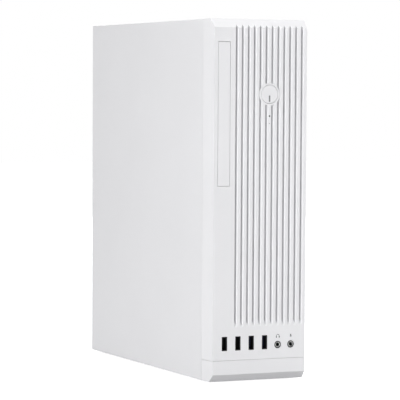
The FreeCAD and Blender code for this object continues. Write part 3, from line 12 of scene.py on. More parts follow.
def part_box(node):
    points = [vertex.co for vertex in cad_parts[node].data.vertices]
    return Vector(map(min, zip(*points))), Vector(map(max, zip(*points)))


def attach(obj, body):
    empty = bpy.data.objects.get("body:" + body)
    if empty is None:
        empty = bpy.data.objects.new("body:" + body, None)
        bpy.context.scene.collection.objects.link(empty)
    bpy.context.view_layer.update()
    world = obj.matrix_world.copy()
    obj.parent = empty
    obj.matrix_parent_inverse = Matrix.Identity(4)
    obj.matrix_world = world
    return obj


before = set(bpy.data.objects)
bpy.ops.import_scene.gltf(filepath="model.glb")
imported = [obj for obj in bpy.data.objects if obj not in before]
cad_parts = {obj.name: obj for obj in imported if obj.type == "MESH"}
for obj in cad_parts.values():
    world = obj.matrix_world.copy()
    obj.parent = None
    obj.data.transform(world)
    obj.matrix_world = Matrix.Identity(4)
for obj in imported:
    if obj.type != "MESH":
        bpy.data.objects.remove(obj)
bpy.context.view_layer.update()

MM = 0.001
RNG = random.Random(11)


# ---------------------------------------------------------------- node-tree helper

def shifted(color, factor):
    """A colour made lighter or darker by a factor."""
    return tuple(min(1.0, channel * factor) for channel in color)


class Shade:
    """A short way to build one material's node tree around its Principled shader."""

    TINT_STOPS = (0.3, 0.7)

    def __init__(self, name, color, roughness, metallic=0.0, **sockets):
        self.material = bpy.data.materials.new(name)
        self.material.use_nodes = True
        self.tree = self.material.node_tree
        self.shader = self.tree.nodes["Principled BSDF"]
        self.put(self.shader, "Base Color", color)
        self.put(self.shader, "Roughness", roughness)
        self.put(self.shader, "Metallic", metallic)
        for socket, value in sockets.items():
            self.put(self.shader, socket.replace("_", " "), value)
        self.coords = self.node("TexCoord").outputs["Object"]

    def put(self, node, socket, value):
        """Link an output to one of a node's inputs, or give that input a constant."""
        target = node.inputs[socket]
        if isinstance(value, bpy.types.NodeSocket):
            self.tree.links.new(value, target)
        elif target.type == "RGBA" and len(value) == 3:
            target.default_value = (*value, 1.0)
        else:
            target.default_value = value

    def node(self, kind, **settings):
        """A node. A setting is one of its properties or, with _ for a space, one of its inputs."""
        made = self.tree.nodes.new("ShaderNode" + kind)
        for key, value in settings.items():
            if hasattr(made, key):
                setattr(made, key, value)
            else:
                self.put(made, key.replace("_", " "), value)
        return made

    def math(self, operation, first, second):
        made = self.node("Math", operation=operation)
        self.put(made, 0, first)
        self.put(made, 1, second)
        return made.outputs["Value"]

    def mix(self, factor, first, second, blend_type="MIX"):
        made = self.node("Mix", data_type="RGBA", blend_type=blend_type, Factor=factor, A=first, B=second)
        return made.outputs["Result"]

    def stretched(self, scale):
        """The object's coordinates, scaled along each axis."""
        return self.node("Mapping", Vector=self.coords, Scale=scale).outputs["Vector"]

    def split(self):
        """The object's coordinates as three separate outputs."""
        return self.node("SeparateXYZ", Vector=self.coords).outputs

    def noise(self, scale, detail=2.0, roughness=0.5, stretch=None):
        place = self.stretched(stretch) if stretch else self.coords
        made = self.node("TexNoise", Vector=place, Scale=scale, Detail=detail, Roughness=roughness)
        return made.outputs["Fac"]

    def ramp(self, fac, stops):
        made = self.node("ValToRGB", Fac=fac)
        for element, (position, color) in zip(made.color_ramp.elements, stops):
            element.position = position
            element.color = (*color, 1.0)
        return made.outputs["Color"]

    def span(self, fac, low, high):
        """A 0 to 1 value spread over another range."""
        return self.node("MapRange", Value=fac, To_Min=low, To_Max=high).outputs["Result"]

    def tint(self, fac, first, second):
        return self.ramp(fac, list(zip(self.TINT_STOPS, (first, second))))

    def bump(self, height, distance):
        """Relief of a depth in metres, added to any relief that is there."""
        made = self.node("Bump", Strength=1.0, Distance=distance, Height=height)
        previous = self.shader.inputs["Normal"]
        if previous.is_linked:
            self.put(made, "Normal", previous.links[0].from_socket)
        self.put(self.shader, "Normal", made.outputs["Normal"])

    def color_from(self, socket):
        self.put(self.shader, "Base Color", socket)

    def mottle(self, fac, color, darkest, lightest):
        """Let the colour wander between two factors of itself."""
        self.color_from(self.tint(fac, shifted(color, darkest), shifted(color, lightest)))

    def uneven(self, fac, roughness, less, more):
        """Let the roughness wander below and above its mean."""
        self.put(self.shader, "Roughness", self.span(fac, roughness - less, roughness + more))


# ---------------------------------------------------------------- materials

def moulded(name, color, roughness, grain=0.35 * MM, depth=0.012 * MM):
    """Textured moulded plastic: a fine spark-eroded grain, faint flow mottling and uneven sheen."""
    shade = Shade(name, color, roughness)
    shade.mottle(shade.noise(18.0, detail=3.0), color, 0.985, 1.012)
    shade.uneven(shade.noise(60.0, detail=3.0), roughness, 0.04, 0.05)
    shade.bump(shade.noise(1.0 / grain, roughness=0.6), depth)
    return shade.material


def moulded_row(name, node, colors, roughness):
    """Moulded plastic for a row of parts along X that changes colour at equal steps of its length."""
    shade = Shade(name, colors[0], roughness)
    low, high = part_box(node)
    color = colors[0]
    for index, following in enumerate(colors[1:], 1):
        place = low.x + (high.x - low.x) * index / len(colors)
        beyond = shade.math("GREATER_THAN", shade.split()["X"], place)
        color = shade.mix(beyond, color, following)
    cloud = shade.tint(shade.noise(300.0, detail=3.0), (0.9, 0.9, 0.9), (1.0, 1.0, 1.0))
    shade.color_from(shade.mix(1.0, color, cloud, "MULTIPLY"))
    shade.uneven(shade.noise(90.0), roughness, 0.05, 0.06)
    shade.bump(shade.noise(3000.0), 0.01 * MM)
    return shade.material


def powder_coat(name, color, roughness):
    """Fine-textured paint over steel: orange peel, a finer speckle and a faint unevenness in tone."""
    shade = Shade(name, color, roughness, Coat_Weight=0.12, Coat_Roughness=0.35)
    shade.mottle(shade.noise(9.0, detail=4.0), color, 0.985, 1.01)
    shade.uneven(shade.noise(140.0), roughness, 0.04, 0.05)
    shade.bump(shade.noise(700.0, detail=3.0, roughness=0.55), 0.03 * MM)
    shade.bump(shade.noise(3600.0, detail=1.0), 0.012 * MM)
    return shade.material


def galvanised(name, color):
    """Zinc-plated sheet: spangled crystals and fine rolling lines."""
    shade = Shade(name, color, 0.42, 0.9)
    cells = shade.node("TexVoronoi", Vector=shade.coords, Scale=230.0)
    spangle = shade.node("SeparateColor", Color=cells.outputs["Color"])
    shade.mottle(spangle.outputs["Red"], color, 0.95, 1.05)
    shade.uneven(spangle.outputs["Green"], 0.42, 0.06, 0.08)
    shade.bump(shade.noise(260.0, detail=4.0, roughness=0.6, stretch=(1.0, 0.08, 1.0)), 0.02 * MM)
    return shade.material


def metal(name, color, roughness, stretch=(1.0, 1.0, 1.0), lines=900.0):
    """Plain worked metal with fine tool lines along the axis that stretch compresses."""
    shade = Shade(name, color, roughness, 1.0)
    streak = shade.noise(lines, detail=3.0, roughness=0.55, stretch=stretch)
    shade.mottle(streak, color, 0.94, 1.05)
    shade.uneven(streak, roughness, 0.05, 0.07)
    shade.bump(streak, 0.01 * MM)
    return shade.material


def cast_metal(name, color):
    """Rough cast alloy."""
    shade = Shade(name, color, 0.55, 0.85)
    shade.mottle(shade.noise(120.0, detail=4.0), color, 0.85, 1.1)
    shade.uneven(shade.noise(400.0, detail=3.0), 0.55, 0.1, 0.1)
    shade.bump(shade.noise(1400.0, detail=4.0, roughness=0.65), 0.04 * MM)
    return shade.material


def circuit(name, mask, axis):
    """Solder mask over copper: square-cornered traces and plated vias, on a board that faces an axis."""
    shade = Shade(name, mask, 0.3, Coat_Weight=0.5, Coat_Roughness=0.12)
    flat = {"x": (0.02, 1.0, 1.0), "y": (1.0, 0.02, 1.0)}[axis]
    place = shade.stretched(flat)
    traces = shade.node("TexVoronoi", distance="CHEBYCHEV", feature="F2", Vector=place, Scale=210.0)
    trace_pitch = 0.085
    rings = shade.math("PINGPONG", traces.outputs["Distance"], trace_pitch)
    steep = shade.span(rings, 0.0, 11.0)
    copper = shade.ramp(steep, [(0.42, shifted(mask, 0.75)), (0.5, shifted(mask, 1.75))])
    vias = shade.node("TexVoronoi", feature="F1", Vector=place, Scale=420.0)
    via_radius = 0.16
    dots = shade.math("LESS_THAN", vias.outputs["Distance"], via_radius)
    plated = (0.55, 0.52, 0.38)
    shade.color_from(shade.mix(dots, copper, plated))
    shade.bump(rings, 0.04 * MM)
    return shade.material


def smoked(name, color):
    """Dark light-window plastic with a slight haze."""
    shade = Shade(name, color, 0.22, Coat_Weight=0.6, Coat_Roughness=0.08)
    shade.uneven(shade.noise(500.0), 0.22, 0.06, 0.06)
    shade.mottle(shade.noise(90.0), color, 0.8, 1.25)
    return shade.material


def rubber(name, color):
    """Dull moulded rubber with a coarse grain."""
    shade = Shade(name, color, 0.85)
    shade.mottle(shade.noise(220.0, detail=4.0), color, 0.8, 1.3)
    shade.bump(shade.noise(2400.0, detail=3.0), 0.05 * MM)
    return shade.material


def jacket(name, color):
    """Soft cable jacket with faint drawing lines and handling marks."""
    shade = Shade(name, color, 0.5)
    shade.mottle(shade.noise(70.0, detail=3.0), color, 0.85, 1.2)
    shade.uneven(shade.noise(300.0), 0.5, 0.08, 0.1)
    shade.bump(shade.noise(1500.0), 0.015 * MM)
    return shade.material


def braided(name, color):
    """Woven sleeve over a wire bundle: two crossing sets of strands."""
    shade = Shade(name, color, 0.6)
    strands = [
        shade.node(
            "TexWave",
            wave_type="BANDS",
            bands_direction="DIAGONAL",
            Vector=shade.stretched((1.0, tilt, 1.0)),
            Scale=420.0,
        ).outputs["Fac"]
        for tilt in (1.0, -1.0)
    ]
    weave = shade.math("MAXIMUM", *strands)
    shade.color_from(shade.ramp(weave, [(0.3, shifted(color, 0.4)), (0.9, shifted(color, 2.2))]))
    shade.bump(weave, 0.2 * MM)
    return shade.material


PAPER_GRAIN = {"scale": 1800.0, "detail": 4.0}
PAPER_DEPTH = 0.015 * MM


def paper_label(name, color):
    """Plain coated paper."""
    shade = Shade(name, color, 0.5)
    shade.mottle(shade.noise(500.0, detail=4.0), color, 0.97, 1.0)
    shade.bump(shade.noise(**PAPER_GRAIN), PAPER_DEPTH)
    return shade.material


def ruled_label(name, color, ink):
    """Blank rating label in the YZ plane: printed fields and rules, with nothing written in them."""
    shade = Shade(name, color, 0.45)
    place = shade.split()
    flat = shade.node("CombineXYZ", X=place["Y"], Y=place["Z"])
    fields = shade.node(
        "TexBrick",
        offset=0.35,
        Vector=flat.outputs["Vector"],
        Scale=1.0,
        Color1=color,
        Color2=color,
        Mortar=ink,
        Mortar_Size=0.3 * MM,
        Brick_Width=27.0 * MM,
        Row_Height=5.5 * MM,
    )
    shade.color_from(fields.outputs["Color"])
    shade.bump(shade.noise(**PAPER_GRAIN), PAPER_DEPTH)
    return shade.material


WHITE_PLASTIC = (0.80, 0.80, 0.815)
WHITE_BUTTON = (0.79, 0.79, 0.805)
WHITE_PAINT = (0.795, 0.795, 0.81)
SOLDER_MASK = (0.012, 0.075, 0.035)
TONGUE_COLORS = ((0.008, 0.008, 0.009), (0.011, 0.016, 0.065))
AUDIO_COLORS = ((0.72, 0.22, 0.32), (0.22, 0.55, 0.12), (0.10, 0.32, 0.68))

MATERIALS = {
    "bezel": moulded("bezel_white", WHITE_PLASTIC, 0.46),
    "button": moulded("button_white", WHITE_BUTTON, 0.4, grain=0.3 * MM, depth=0.008 * MM),
    "paint": powder_coat("paint_white", WHITE_PAINT, 0.48),
    "zinc": galvanised("zinc_sheet", (0.62, 0.63, 0.64)),
    "screw": metal("screw_nickel", (0.66, 0.66, 0.65), 0.28),
    "nickel": metal("nickel_shell", (0.70, 0.69, 0.67), 0.3, (1.0, 0.1, 1.0)),
    "gold": metal("gold_contact", (0.83, 0.62, 0.25), 0.22),
    "brass": metal("brass_turned", (0.72, 0.56, 0.28), 0.3, (0.1, 1.0, 1.0)),
    "fins": metal("fin_metal", (0.74, 0.75, 0.76), 0.35, (1.0, 0.05, 1.0), lines=600.0),
    "casting": cast_metal("cast_drive", (0.50, 0.51, 0.52)),
    "black": moulded("black_plastic", (0.018, 0.018, 0.02), 0.45),
    "fan": moulded("fan_black", (0.022, 0.022, 0.025), 0.38, grain=0.6 * MM),
    "nylon": moulded("nylon_cream", (0.72, 0.69, 0.60), 0.5),
    "white_nylon": moulded("nylon_white", (0.78, 0.77, 0.73), 0.46),
    "tongues": moulded_row("tongue_black_and_navy", "front_usb_tongues", TONGUE_COLORS, 0.4),
    "audio_row": moulded_row("audio_pink_lime_blue", "rear_audio_jacks", AUDIO_COLORS, 0.4),
    "video_blue": moulded("video_blue", (0.03, 0.10, 0.38), 0.4),
    "window": smoked("smoked_window", (0.21, 0.213, 0.225)),
    "rubber": rubber("foot_rubber", (0.03, 0.03, 0.03)),
    "board": circuit("board_mask", SOLDER_MASK, "x"),
    "board_y": circuit("board_mask_front", SOLDER_MASK, "y"),
    "jacket": jacket("jacket_black", (0.02, 0.02, 0.022)),
    "ceramic": moulded("chip_brown", (0.20, 0.13, 0.08), 0.5),
    "ruled": ruled_label("label_ruled", (0.76, 0.77, 0.78), (0.12, 0.13, 0.15)),
    "label": paper_label("label_white", (0.78, 0.78, 0.76)),
    "print": moulded("print_grey", (0.13, 0.135, 0.145), 0.6),
    "jack": moulded("jack_black", (0.035, 0.036, 0.04), 0.3, grain=0.6 * MM),
    "lens": moulded("lens_milky", (0.42, 0.42, 0.44), 0.3),
    "sleeve": braided("sleeve_black", (0.03, 0.03, 0.032)),
    # Near-black painted shade for the inside of holes: on the reset pin, the reset hole's sleeve and the
    # video socket's pin holes.
    "hole_shade": moulded("painted_hole_darkness", (0.006, 0.006, 0.006), 0.6),
}

NODE_LOOK = {
    "front_bezel": "bezel",
    "lower_bezel": "bezel",
    "optical_bay_cover": "bezel",
    "power_button": "button",
    "power_button_window": "window",
    # The reset pin carries the near-black painted hole shade, so that its hole reads dark.
    "reset_button": "hole_shade",
    "activity_lens": "lens",
    "front_frame": "zinc",
    "right_wall": "paint",
    "floor_plate": "zinc",
    "rear_panel": "zinc",
    "slot_covers": "zinc",
    "rubber_feet": "rubber",
    "drive_cage": "zinc",
    "cover": "paint",
    "thumbscrew_lower": "screw",
    "thumbscrew_upper": "screw",
    "motherboard": "board",
    "processor_socket": "black",
    "processor": "nickel",
    "heat_sink": "fins",
    "board_spacers": "brass",
    "memory_latch_1": "white_nylon",
    "memory_latch_2": "white_nylon",
    "memory_slots": "black",
    "memory_modules": "board_y",
    "expansion_slot": "black",
    "chipset_heat_sink": "fins",
    "coin_cell": "nickel",
    "board_connectors": "nylon",
    "board_components": "black",
    "rear_data_ports": "nickel",
    "lan_port": "nickel",
    "rear_audio_jacks": "audio_row",
    "rear_socket_shield": "zinc",
    "exhaust_fan_frame": "fan",
    "exhaust_fan_rotor": "fan",
    "cooler_fan_frame": "fan",
    "cooler_fan_rotor": "fan",
    "supply_fan_frame": "fan",
    "supply_fan_rotor": "fan",
    "supply_case": "zinc",
    "supply_circuit": "board",
    "power_inlet": "black",
    "inlet_pins": "nickel",
    "switch_frame": "black",
    "supply_rocker": "black",
    "rear_screws": "screw",
    "hard_drive": "casting",
    "front_socket_board": "board_y",
    "front_usb_ports": "black",
    "front_usb_tongues": "tongues",
    "front_audio_jacks": "jack",
    "switch_board": "board_y",
    "inner_screws": "screw",
    "power_loom": "sleeve",
    "data_cable": "jacket",
    "front_usb_cable": "jacket",
    "switch_cable": "jacket",
    "cable_plugs": "white_nylon",
}


def paint_nodes():
    """Give every CAD piece its material."""
    for node, look in NODE_LOOK.items():
        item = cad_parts[node]
        item.data.materials.clear()
        item.data.materials.append(MATERIALS[look])


# ---------------------------------------------------------------- rounded edges

# node: edge radius in millimetres
SOFT_EDGES = {
    "front_bezel": 0.2,
    "lower_bezel": 0.15,
    "optical_bay_cover": 0.25,
    "power_button": 0.3,
    "cover": 0.3,
}
WELD_REACH = 0.004 * MM
FLAT_ANGLE = math.radians(0.5)
SHARP_ANGLE = math.radians(24.0)


def soften_edges():
    """Give the moulded and folded outer pieces the small edge radius that they have."""
    for node, radius in SOFT_EDGES.items():
        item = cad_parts[node]
        weld = item.modifiers.new("weld", "WELD")
        weld.merge_threshold = WELD_REACH
        flat = item.modifiers.new("flat", "DECIMATE")
        flat.decimate_type = "DISSOLVE"
        flat.angle_limit = FLAT_ANGLE
        edge = item.modifiers.new("edge", "BEVEL")
        edge.width = radius * MM
        edge.segments = 2
        edge.limit_method = "ANGLE"
        edge.angle_limit = SHARP_ANGLE
        edge.use_clamp_overlap = True
        edge.harden_normals = True


# ---------------------------------------------------------------- extra pieces

def finished(name, mesh, look, body="chassis"):
    """Turn a bmesh into a piece that rides on a body."""
    data = bpy.data.meshes.new(name)
    bmesh.ops.recalc_face_normals(mesh, faces=mesh.faces)
    mesh.to_mesh(data)
    mesh.free()
    data.materials.append(MATERIALS[look])
    item = linked(name, data)
    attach(item, body)


def linked(name, data):
    """A new object in the scene."""
    item = bpy.data.objects.new(name, data)
    bpy.context.scene.collection.objects.link(item)
    return item


def add_block(mesh, low, high, bevel=0.0):
    """A box between two corners, its edges chamfered where asked."""
    low = Vector(low)
    high = Vector(high)
    made = bmesh.ops.create_cube(mesh, size=1.0)["verts"]
    for vert in made:
        vert.co = Vector(low[axis] + (vert.co[axis] + 0.5) * (high[axis] - low[axis]) for axis in range(3))
    if bevel:
        edges = {edge for vert in made for edge in vert.link_edges}
        bmesh.ops.bevel(mesh, geom=list(edges), offset=bevel, segments=1, affect="EDGES")


def add_wall(mesh, near, far, smooth=False):
    """Faces between two matching closed loops of vertices."""
    for index, corner in enumerate(near):
        following = (index + 1) % len(near)
        face = mesh.faces.new((corner, far[index], far[following], near[following]))
        face.smooth = smooth


def add_prism(mesh, near_points, far_points):
    """A closed solid between two matching outlines."""
    near = [mesh.verts.new(point) for point in near_points]
    far = [mesh.verts.new(point) for point in far_points]
    mesh.faces.new(near)
    mesh.faces.new(far[::-1])
    add_wall(mesh, near, far)


def add_plate(mesh, outline, low_y, high_y):
    """An outline in the XZ plane, pulled into a thin plate."""
    add_prism(mesh, [(x, low_y, z) for x, z in outline], [(x, high_y, z) for x, z in outline])


def add_sticker(mesh, low, high, corner):
    """A thin plate lying across X, with its four corners rounded in the YZ plane."""
    outline = []
    for y, z, first in (
        (high[1] - corner, high[2] - corner, 0.0),
        (low[1] + corner, high[2] - corner, 90.0),
        (low[1] + corner, low[2] + corner, 180.0),
        (high[1] - corner, low[2] + corner, 270.0),
    ):
        outline += arc(y, z, corner, first, first + 90.0, 6)
    add_prism(mesh, [(low[0], y, z) for y, z in outline], [(high[0], y, z) for y, z in outline])


def add_ring(mesh, centre, radius, tube, steps=40, sides=10):
    """A round wire ring about an axis along Y."""
    loops = []
    for out_x, out_z in circle(0.0, 0.0, 1.0, steps):
        out = Vector((out_x, 0.0, out_z))
        section = [
            Vector(centre) + out * (radius + across) + Vector((0.0, along, 0.0))
            for across, along in circle(0.0, 0.0, tube, sides)
        ]
        loops.append([mesh.verts.new(point) for point in section])
    for step, loop in enumerate(loops):
        add_wall(mesh, loop, loops[(step + 1) % steps], smooth=True)


def arc(centre_u, centre_v, radius, first, last, steps=14):
    """Points of an arc in a plane, between two angles in degrees."""
    turns = [math.radians(first + (last - first) * step / steps) for step in range(steps + 1)]
    return [(centre_u + radius * math.cos(turn), centre_v + radius * math.sin(turn)) for turn in turns]


def circle(centre_u, centre_v, radius, points):
    """Points of a whole circle in a plane, without repeating the first."""
    return arc(centre_u, centre_v, radius, 0.0, 360.0 * (points - 1) / points, points - 1)


def stadium(centre_u, top_v, bottom_v, radius):
    """The outline of an upright capsule, given the centres of its two round ends."""
    return arc(centre_u, top_v, radius, 0.0, 180.0, 8) + arc(centre_u, bottom_v, radius, 180.0, 360.0, 8)


def front_jack_centres():
    """The X and Z of the left and right front jacks."""
    low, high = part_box("front_audio_jacks")
    half_body = 4.4 * MM
    level = (low.z + high.z) / 2
    return (low.x + half_body, level), (high.x - half_body, level)


def socket_marks():
    """Small printed signs above the two audio jacks: headphones and a microphone."""
    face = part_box("front_bezel")[0].y
    skin = (face - 0.03 * MM, face + 0.01 * MM)
    (left_x, level), (right_x, _) = front_jack_centres()
    sign_z = level + 8.0 * MM

    headphones = bmesh.new()
    band_outer, band_inner = 1.65 * MM, 1.25 * MM
    band = arc(left_x, sign_z, band_outer, 0.0, 180.0) + arc(left_x, sign_z, band_inner, 180.0, 0.0)
    add_plate(headphones, band, *skin)
    cup_offset, cup_radius = 1.45 * MM, 0.5 * MM
    for cup_x in (left_x - cup_offset, left_x + cup_offset):
        add_plate(headphones, stadium(cup_x, sign_z - 0.5 * MM, sign_z - 1.2 * MM, cup_radius), *skin)
    finished("headphone_sign", headphones, "print")

    microphone = bmesh.new()
    capsule_radius = 0.55 * MM
    capsule_foot = sign_z - 0.1 * MM
    add_plate(microphone, stadium(right_x, sign_z + 0.9 * MM, capsule_foot, capsule_radius), *skin)
    yoke_outer, yoke_inner = 1.05 * MM, 0.8 * MM
    yoke = arc(right_x, capsule_foot, yoke_outer, 180.0, 360.0, 10)
    yoke += arc(right_x, capsule_foot, yoke_inner, 360.0, 180.0, 10)
    add_plate(microphone, yoke, *skin)
    stem_half = 0.13 * MM
    stem_top, stem_foot = sign_z - 1.1 * MM, sign_z - 1.6 * MM
    stem = [
        (right_x - stem_half, stem_top),
        (right_x + stem_half, stem_top),
        (right_x + stem_half, stem_foot),
        (right_x - stem_half, stem_foot),
    ]
    add_plate(microphone, stem, *skin)
    finished("microphone_sign", microphone, "print")


def jack_rings():
    """The bright contact ring just inside each front jack."""
    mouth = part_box("front_audio_jacks")[0].y + 0.05 * MM
    ring_radius, wire_radius = 2.1 * MM, 0.28 * MM
    for index, (x, z) in enumerate(front_jack_centres()):
        mesh = bmesh.new()
        add_ring(mesh, (x, mouth, z), ring_radius, wire_radius)
        finished(f"jack_ring_{index + 1}", mesh, "screw")


def reset_shade_sleeve():
    """A black sleeve just under the face in the reset hole: a dark piece that stands in for the shade
    inside the hole.
    """
    low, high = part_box("reset_button")
    middle = (low + high) / 2
    outer, inner = 0.74 * MM, 0.53 * MM
    front, back = low.y - 0.88 * MM, low.y + 1.2 * MM
    mesh = bmesh.new()
    loops = [
        [mesh.verts.new((x, depth, z)) for x, z in circle(middle.x, middle.z, radius, 36)]
        for radius, depth in ((outer, front), (outer, back), (inner, back), (inner, front))
    ]
    for index, loop in enumerate(loops):
        add_wall(mesh, loop, loops[(index + 1) % len(loops)])
    finished("reset_shade_sleeve", mesh, "hole_shade")


def usb_contacts():
    """Four gold springs on each front tongue."""
    low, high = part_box("front_usb_tongues")
    ports, pins = 4, 4
    tongue_width = 1.6 * MM
    pitch = (high.x - low.x - tongue_width) / (ports - 1)
    half_spring = 0.45 * MM
    mesh = bmesh.new()
    for port in range(ports):
        face = low.x + port * pitch
        for pin in range(pins):
            z = low.z + (pin + 1) * (high.z - low.z) / (pins + 1)
            add_block(
                mesh,
                (face - 0.15 * MM, low.y + 0.8 * MM, z - half_spring),
                (face + 0.05 * MM, low.y + 9.0 * MM, z + half_spring),
                bevel=0.05 * MM,
            )
    finished("usb_contacts", mesh, "gold")


def video_insert():
    """The blue insulator of the 15-pin video socket, with near-black discs on its face as painted shade
    for its pin holes.
    """
    low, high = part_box("rear_data_ports")
    middle_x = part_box("motherboard")[0].x - 6.4 * MM
    middle_z = low.z + 34.5 * MM
    half_depth, half_height, slant = 3.7 * MM, 7.7 * MM, 1.2 * MM
    insulator = bmesh.new()
    outline = [
        (middle_x - half_depth, middle_z - half_height),
        (middle_x + half_depth, middle_z - half_height + slant),
        (middle_x + half_depth, middle_z + half_height - slant),
        (middle_x - half_depth, middle_z + half_height),
    ]
    add_plate(insulator, outline, high.y - 0.5 * MM, high.y + 0.25 * MM)
    finished("video_insert", insulator, "video_blue")

    # Near-black discs laid on the insulator's face: painted shade where the pin holes are.
    holes = bmesh.new()
    rows, pins = 3, 5
    row_pitch, pin_pitch, stagger = 2.1 * MM, 2.29 * MM, 1.1 * MM
    for row in range(rows):
        for pin in range(pins):
            x = middle_x + (row - 1) * row_pitch
            z = middle_z + (pin - 2) * pin_pitch + (row % 2) * stagger - 0.5 * MM
            add_plate(holes, circle(x, z, 0.5 * MM, 12), high.y + 0.2 * MM, high.y + 0.3 * MM)
    finished("video_pin_shade_discs", holes, "hole_shade")


def network_springs():
    """Eight contact springs in the network socket."""
    low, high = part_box("lan_port")
    pins = 8
    pitch, half_spring = 1.02 * MM, 0.18 * MM
    mesh = bmesh.new()
    for pin in range(pins):
        z = (low.z + high.z) / 2 + (pin - (pins - 1) / 2) * pitch
        add_block(
            mesh,
            (low.x + 2.3 * MM, high.y - 13.0 * MM, z - half_spring),
            (low.x + 2.9 * MM, high.y - 3.0 * MM, z + half_spring),
        )
    finished("network_springs", mesh, "gold")


def memory_chips():
    """Black packages over the eight chips of each module, and the gold contacts at its slot."""
    low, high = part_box("memory_modules")
    module_pitch = 9.5 * MM
    half_stack, half_card = 1.7 * MM, 0.635 * MM
    skin = 0.06 * MM
    chip_first, chip_pitch, chip_length = 5.0 * MM, 15.8 * MM, 10.0 * MM
    chip_near, chip_far = low.x + 9.75 * MM - skin, low.x + 20.75 * MM + skin
    contact_first, contact_pitch, contact_width = 4.0 * MM, 2.1 * MM, 1.2 * MM
    contact_near, contact_far = high.x - 6.2 * MM, high.x - 4.3 * MM
    chips = bmesh.new()
    contacts = bmesh.new()
    for module in range(2):
        centre = high.y - half_stack - module * module_pitch
        for index in range(8):
            z = low.z + chip_first + index * chip_pitch
            add_block(
                chips,
                (chip_near, centre - half_stack - skin, z - skin),
                (chip_far, centre + half_stack + skin, z + chip_length + skin),
                bevel=0.1 * MM,
            )
        for index in range(60):
            z = low.z + contact_first + index * contact_pitch
            add_block(
                contacts,
                (contact_near, centre - half_card - skin, z),
                (contact_far, centre + half_card + skin, z + contact_width),
            )
    finished("memory_chips", chips, "black")
    finished("memory_contacts", contacts, "gold")


BOARD_NEIGHBOURS = (
    "processor_socket",
    "heat_sink",
    "memory_slots",
    "memory_latch_1",
    "memory_latch_2",
    "expansion_slot",
    "chipset_heat_sink",
    "coin_cell",
    "rear_data_ports",
    "lan_port",
    "rear_audio_jacks",
)


def board_small_parts():
    """Seeded rows of small resistors and capacitors soldered over the free parts of the board."""
    low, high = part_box("motherboard")
    keep_out = [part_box(node) for node in BOARD_NEIGHBOURS]
    rows = 420
    margin, pitch = 4 * MM, 1.9 * MM
    part_height, solder_setback = 0.55 * MM, 0.12 * MM
    half_long, half_short, body_share = 0.8 * MM, 0.42 * MM, 0.7
    ceramic = bmesh.new()
    solder = bmesh.new()
    for _ in range(rows):
        y = RNG.uniform(low.y + margin, high.y - margin)
        z = RNG.uniform(low.z + margin, high.z - margin)
        across = RNG.random() < 0.5
        count = RNG.choice((1, 1, 2, 3))
        half_y, half_z = (half_long, half_short) if across else (half_short, half_long)
        for step in range(count):
            here_y = y + (0.0 if across else step * pitch)
            here_z = z + (step * pitch if across else 0.0)
            if any(
                box_low.y - MM < here_y < box_high.y + MM and box_low.z - MM < here_z < box_high.z + MM
                for box_low, box_high in keep_out
            ):
                continue
            top = low.x - part_height
            add_block(
                ceramic,
                (top, here_y - half_y * body_share, here_z - half_z * body_share),
                (low.x, here_y + half_y * body_share, here_z + half_z * body_share),
            )
            add_block(
                solder,
                (top + solder_setback, here_y - half_y, here_z - half_z),
                (low.x, here_y + half_y, here_z + half_z),
            )
    finished("board_chip_parts", ceramic, "ceramic")
    finished("board_solder_ends", solder, "screw")


def labels():
    """Blank labels: a plain one on the hard drive's cover, a ruled one on the power supply."""
    low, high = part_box("hard_drive")
    inset = 12 * MM
    plain = bmesh.new()
    add_sticker(
        plain,
        (high.x - 1.3 * MM, low.y + 30 * MM, low.z + inset),
        (high.x + 0.12 * MM, low.y + 112 * MM, high.z - inset),
        corner=3.0 * MM,
    )
    finished("drive_label", plain, "label")

    low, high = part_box("supply_case")
    inset = 7 * MM
    ruled = bmesh.new()
    add_sticker(
        ruled,
        (low.x - 0.12 * MM, low.y + 28 * MM, low.z + inset),
        (low.x + 0.05 * MM, low.y + 118 * MM, high.z - inset),
        corner=2.5 * MM,
    )
    finished("supply_label", ruled, "ruled")


def hub_stickers():
    """A round blank sticker on two fans' hubs, on the side that faces into the case."""
    setback, thickness, points = 0.95 * MM, 0.1 * MM, 40

    low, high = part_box("cooler_fan_frame")
    middle = (low + high) / 2
    outline = circle(middle.y, middle.z, 11.0 * MM, points)
    near, far = ([(low.x + depth, y, z) for y, z in outline] for depth in (setback, setback + thickness))
    cooler = bmesh.new()
    add_prism(cooler, near, far)
    finished("cooler_hub_sticker", cooler, "label", "cooler_rotor")

    low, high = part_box("exhaust_fan_frame")
    middle = (low + high) / 2
    exhaust = bmesh.new()
    outline = circle(middle.x, middle.z, 10.0 * MM, points)
    add_plate(exhaust, outline, low.y + setback, low.y + setback + thickness)
    finished("exhaust_hub_sticker", exhaust, "label", "exhaust_rotor")


def extra_pieces():
    socket_marks()
    jack_rings()
    reset_shade_sleeve()
    usb_contacts()
    video_insert()
    network_springs()
    memory_chips()
    board_small_parts()
    labels()
    hub_stickers()


# ---------------------------------------------------------------- studio

VIEW_TURN = math.radians(-24.476)
VIEW_RISE = math.radians(2.70)
VIEW_ROLL = math.radians(0.335)
VIEW_LENS_MM = 201.83
VIEW_SENSOR_MM = 36.0
VIEW_DISTANCE = 2.0189
AIM_X = -0.06029
AIM_ABOVE_FOOT = 0.16632

FLOOR_HALF = 6.0
FLOOR_COLOR = (0.47, 0.47, 0.475)
FLOOR_GLOW = 1.0
AMBIENT_STRENGTH = 0.12
SURROUND_STRENGTH = 1.0

CASE_MIDDLE = (0.0, 0.0, 0.16)
CASE_LOWER = (0.0, 0.0, 0.12)

# name: place, aim, side of the square lamp, power in watts
LAMPS = {
    "top_soft": ((0.0, 0.0, 2.0), CASE_MIDDLE, 1.6, 26.0),
    "left_soft": ((-2.2, -1.15, 0.24), CASE_LOWER, 0.8, 55.5),
    "right_soft": ((1.5, -1.5, 0.5), CASE_MIDDLE, 1.0, 22.0),
    "side_soft": ((-1.9, -0.3, 0.5), CASE_MIDDLE, 1.0, 0.5),
    "rear_soft": ((0.9, 2.3, 0.9), CASE_MIDDLE, 1.2, 30.0),
}


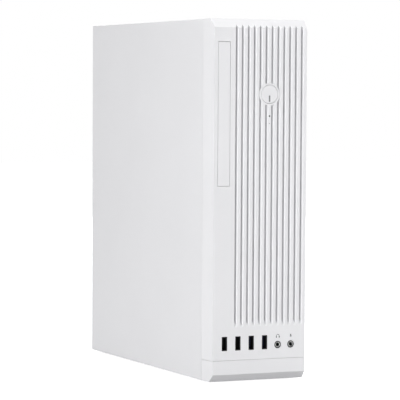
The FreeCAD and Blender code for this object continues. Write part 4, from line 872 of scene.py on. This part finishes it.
def camera():
    """The picture's viewing angle, aimed at a point on the plane of the front face."""
    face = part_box("front_bezel")[0].y
    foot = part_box("lower_bezel")[0].z
    aim = Vector((AIM_X, face, foot + AIM_ABOVE_FOOT))
    level = math.cos(VIEW_RISE)
    back = Vector((math.sin(VIEW_TURN) * level, -math.cos(VIEW_TURN) * level, math.sin(VIEW_RISE)))
    data = bpy.data.cameras.new("view")
    data.lens = VIEW_LENS_MM
    data.sensor_width = VIEW_SENSOR_MM
    data.clip_end = 50.0
    item = linked("view", data)
    rolled = back.to_track_quat("Z", "Y") @ Matrix.Rotation(VIEW_ROLL, 3, "Z").to_quaternion()
    item.rotation_euler = rolled.to_euler()
    item.location = aim + back * VIEW_DISTANCE
    bpy.context.scene.camera = item


def lamps():
    for name, (place, aim, side, power) in LAMPS.items():
        data = bpy.data.lights.new(name, "AREA")
        data.shape = "RECTANGLE"
        data.size = data.size_y = side
        data.energy = power
        item = linked(name, data)
        item.location = place
        item.rotation_euler = (Vector(place) - Vector(aim)).to_track_quat("Z", "Y").to_euler()


def pale_floor():
    """A floor that looks white to the camera and bounces a softer light."""
    mesh = bpy.data.meshes.new("floor")
    reach = FLOOR_HALF
    corners = [(-reach, -reach, 0), (reach, -reach, 0), (reach, reach, 0), (-reach, reach, 0)]
    mesh.from_pydata(corners, [], [(0, 1, 2, 3)])
    shade = Shade("floor_white", FLOOR_COLOR, 0.7, Emission_Color=(1.0, 1.0, 1.0))
    shade.uneven(shade.noise(3.0), 0.7, 0.05, 0.05)
    seen = shade.node("LightPath").outputs["Is Camera Ray"]
    shade.put(shade.shader, "Emission Strength", shade.math("MULTIPLY", seen, FLOOR_GLOW))
    mesh.materials.append(shade.material)
    linked("floor", mesh)


def surround():
    """A white background to the camera, and a weak even light to the object."""
    world = bpy.data.worlds.new("studio")
    bpy.context.scene.world = world
    world.use_nodes = True
    nodes, links = world.node_tree.nodes, world.node_tree.links
    ambient = nodes["Background"]
    white = nodes.new("ShaderNodeBackground")
    for node, strength in ((ambient, AMBIENT_STRENGTH), (white, SURROUND_STRENGTH)):
        node.inputs["Color"].default_value = (1.0, 1.0, 1.0, 1.0)
        node.inputs["Strength"].default_value = strength
    mix = nodes.new("ShaderNodeMixShader")
    links.new(nodes.new("ShaderNodeLightPath").outputs["Is Camera Ray"], mix.inputs["Fac"])
    links.new(ambient.outputs["Background"], mix.inputs[1])
    links.new(white.outputs["Background"], mix.inputs[2])
    links.new(mix.outputs["Shader"], nodes["World Output"].inputs["Surface"])


bpy.context.scene.view_settings.view_transform = "Standard"
camera()
pale_floor()
surround()
lamps()
paint_nodes()
soften_edges()
extra_pieces()
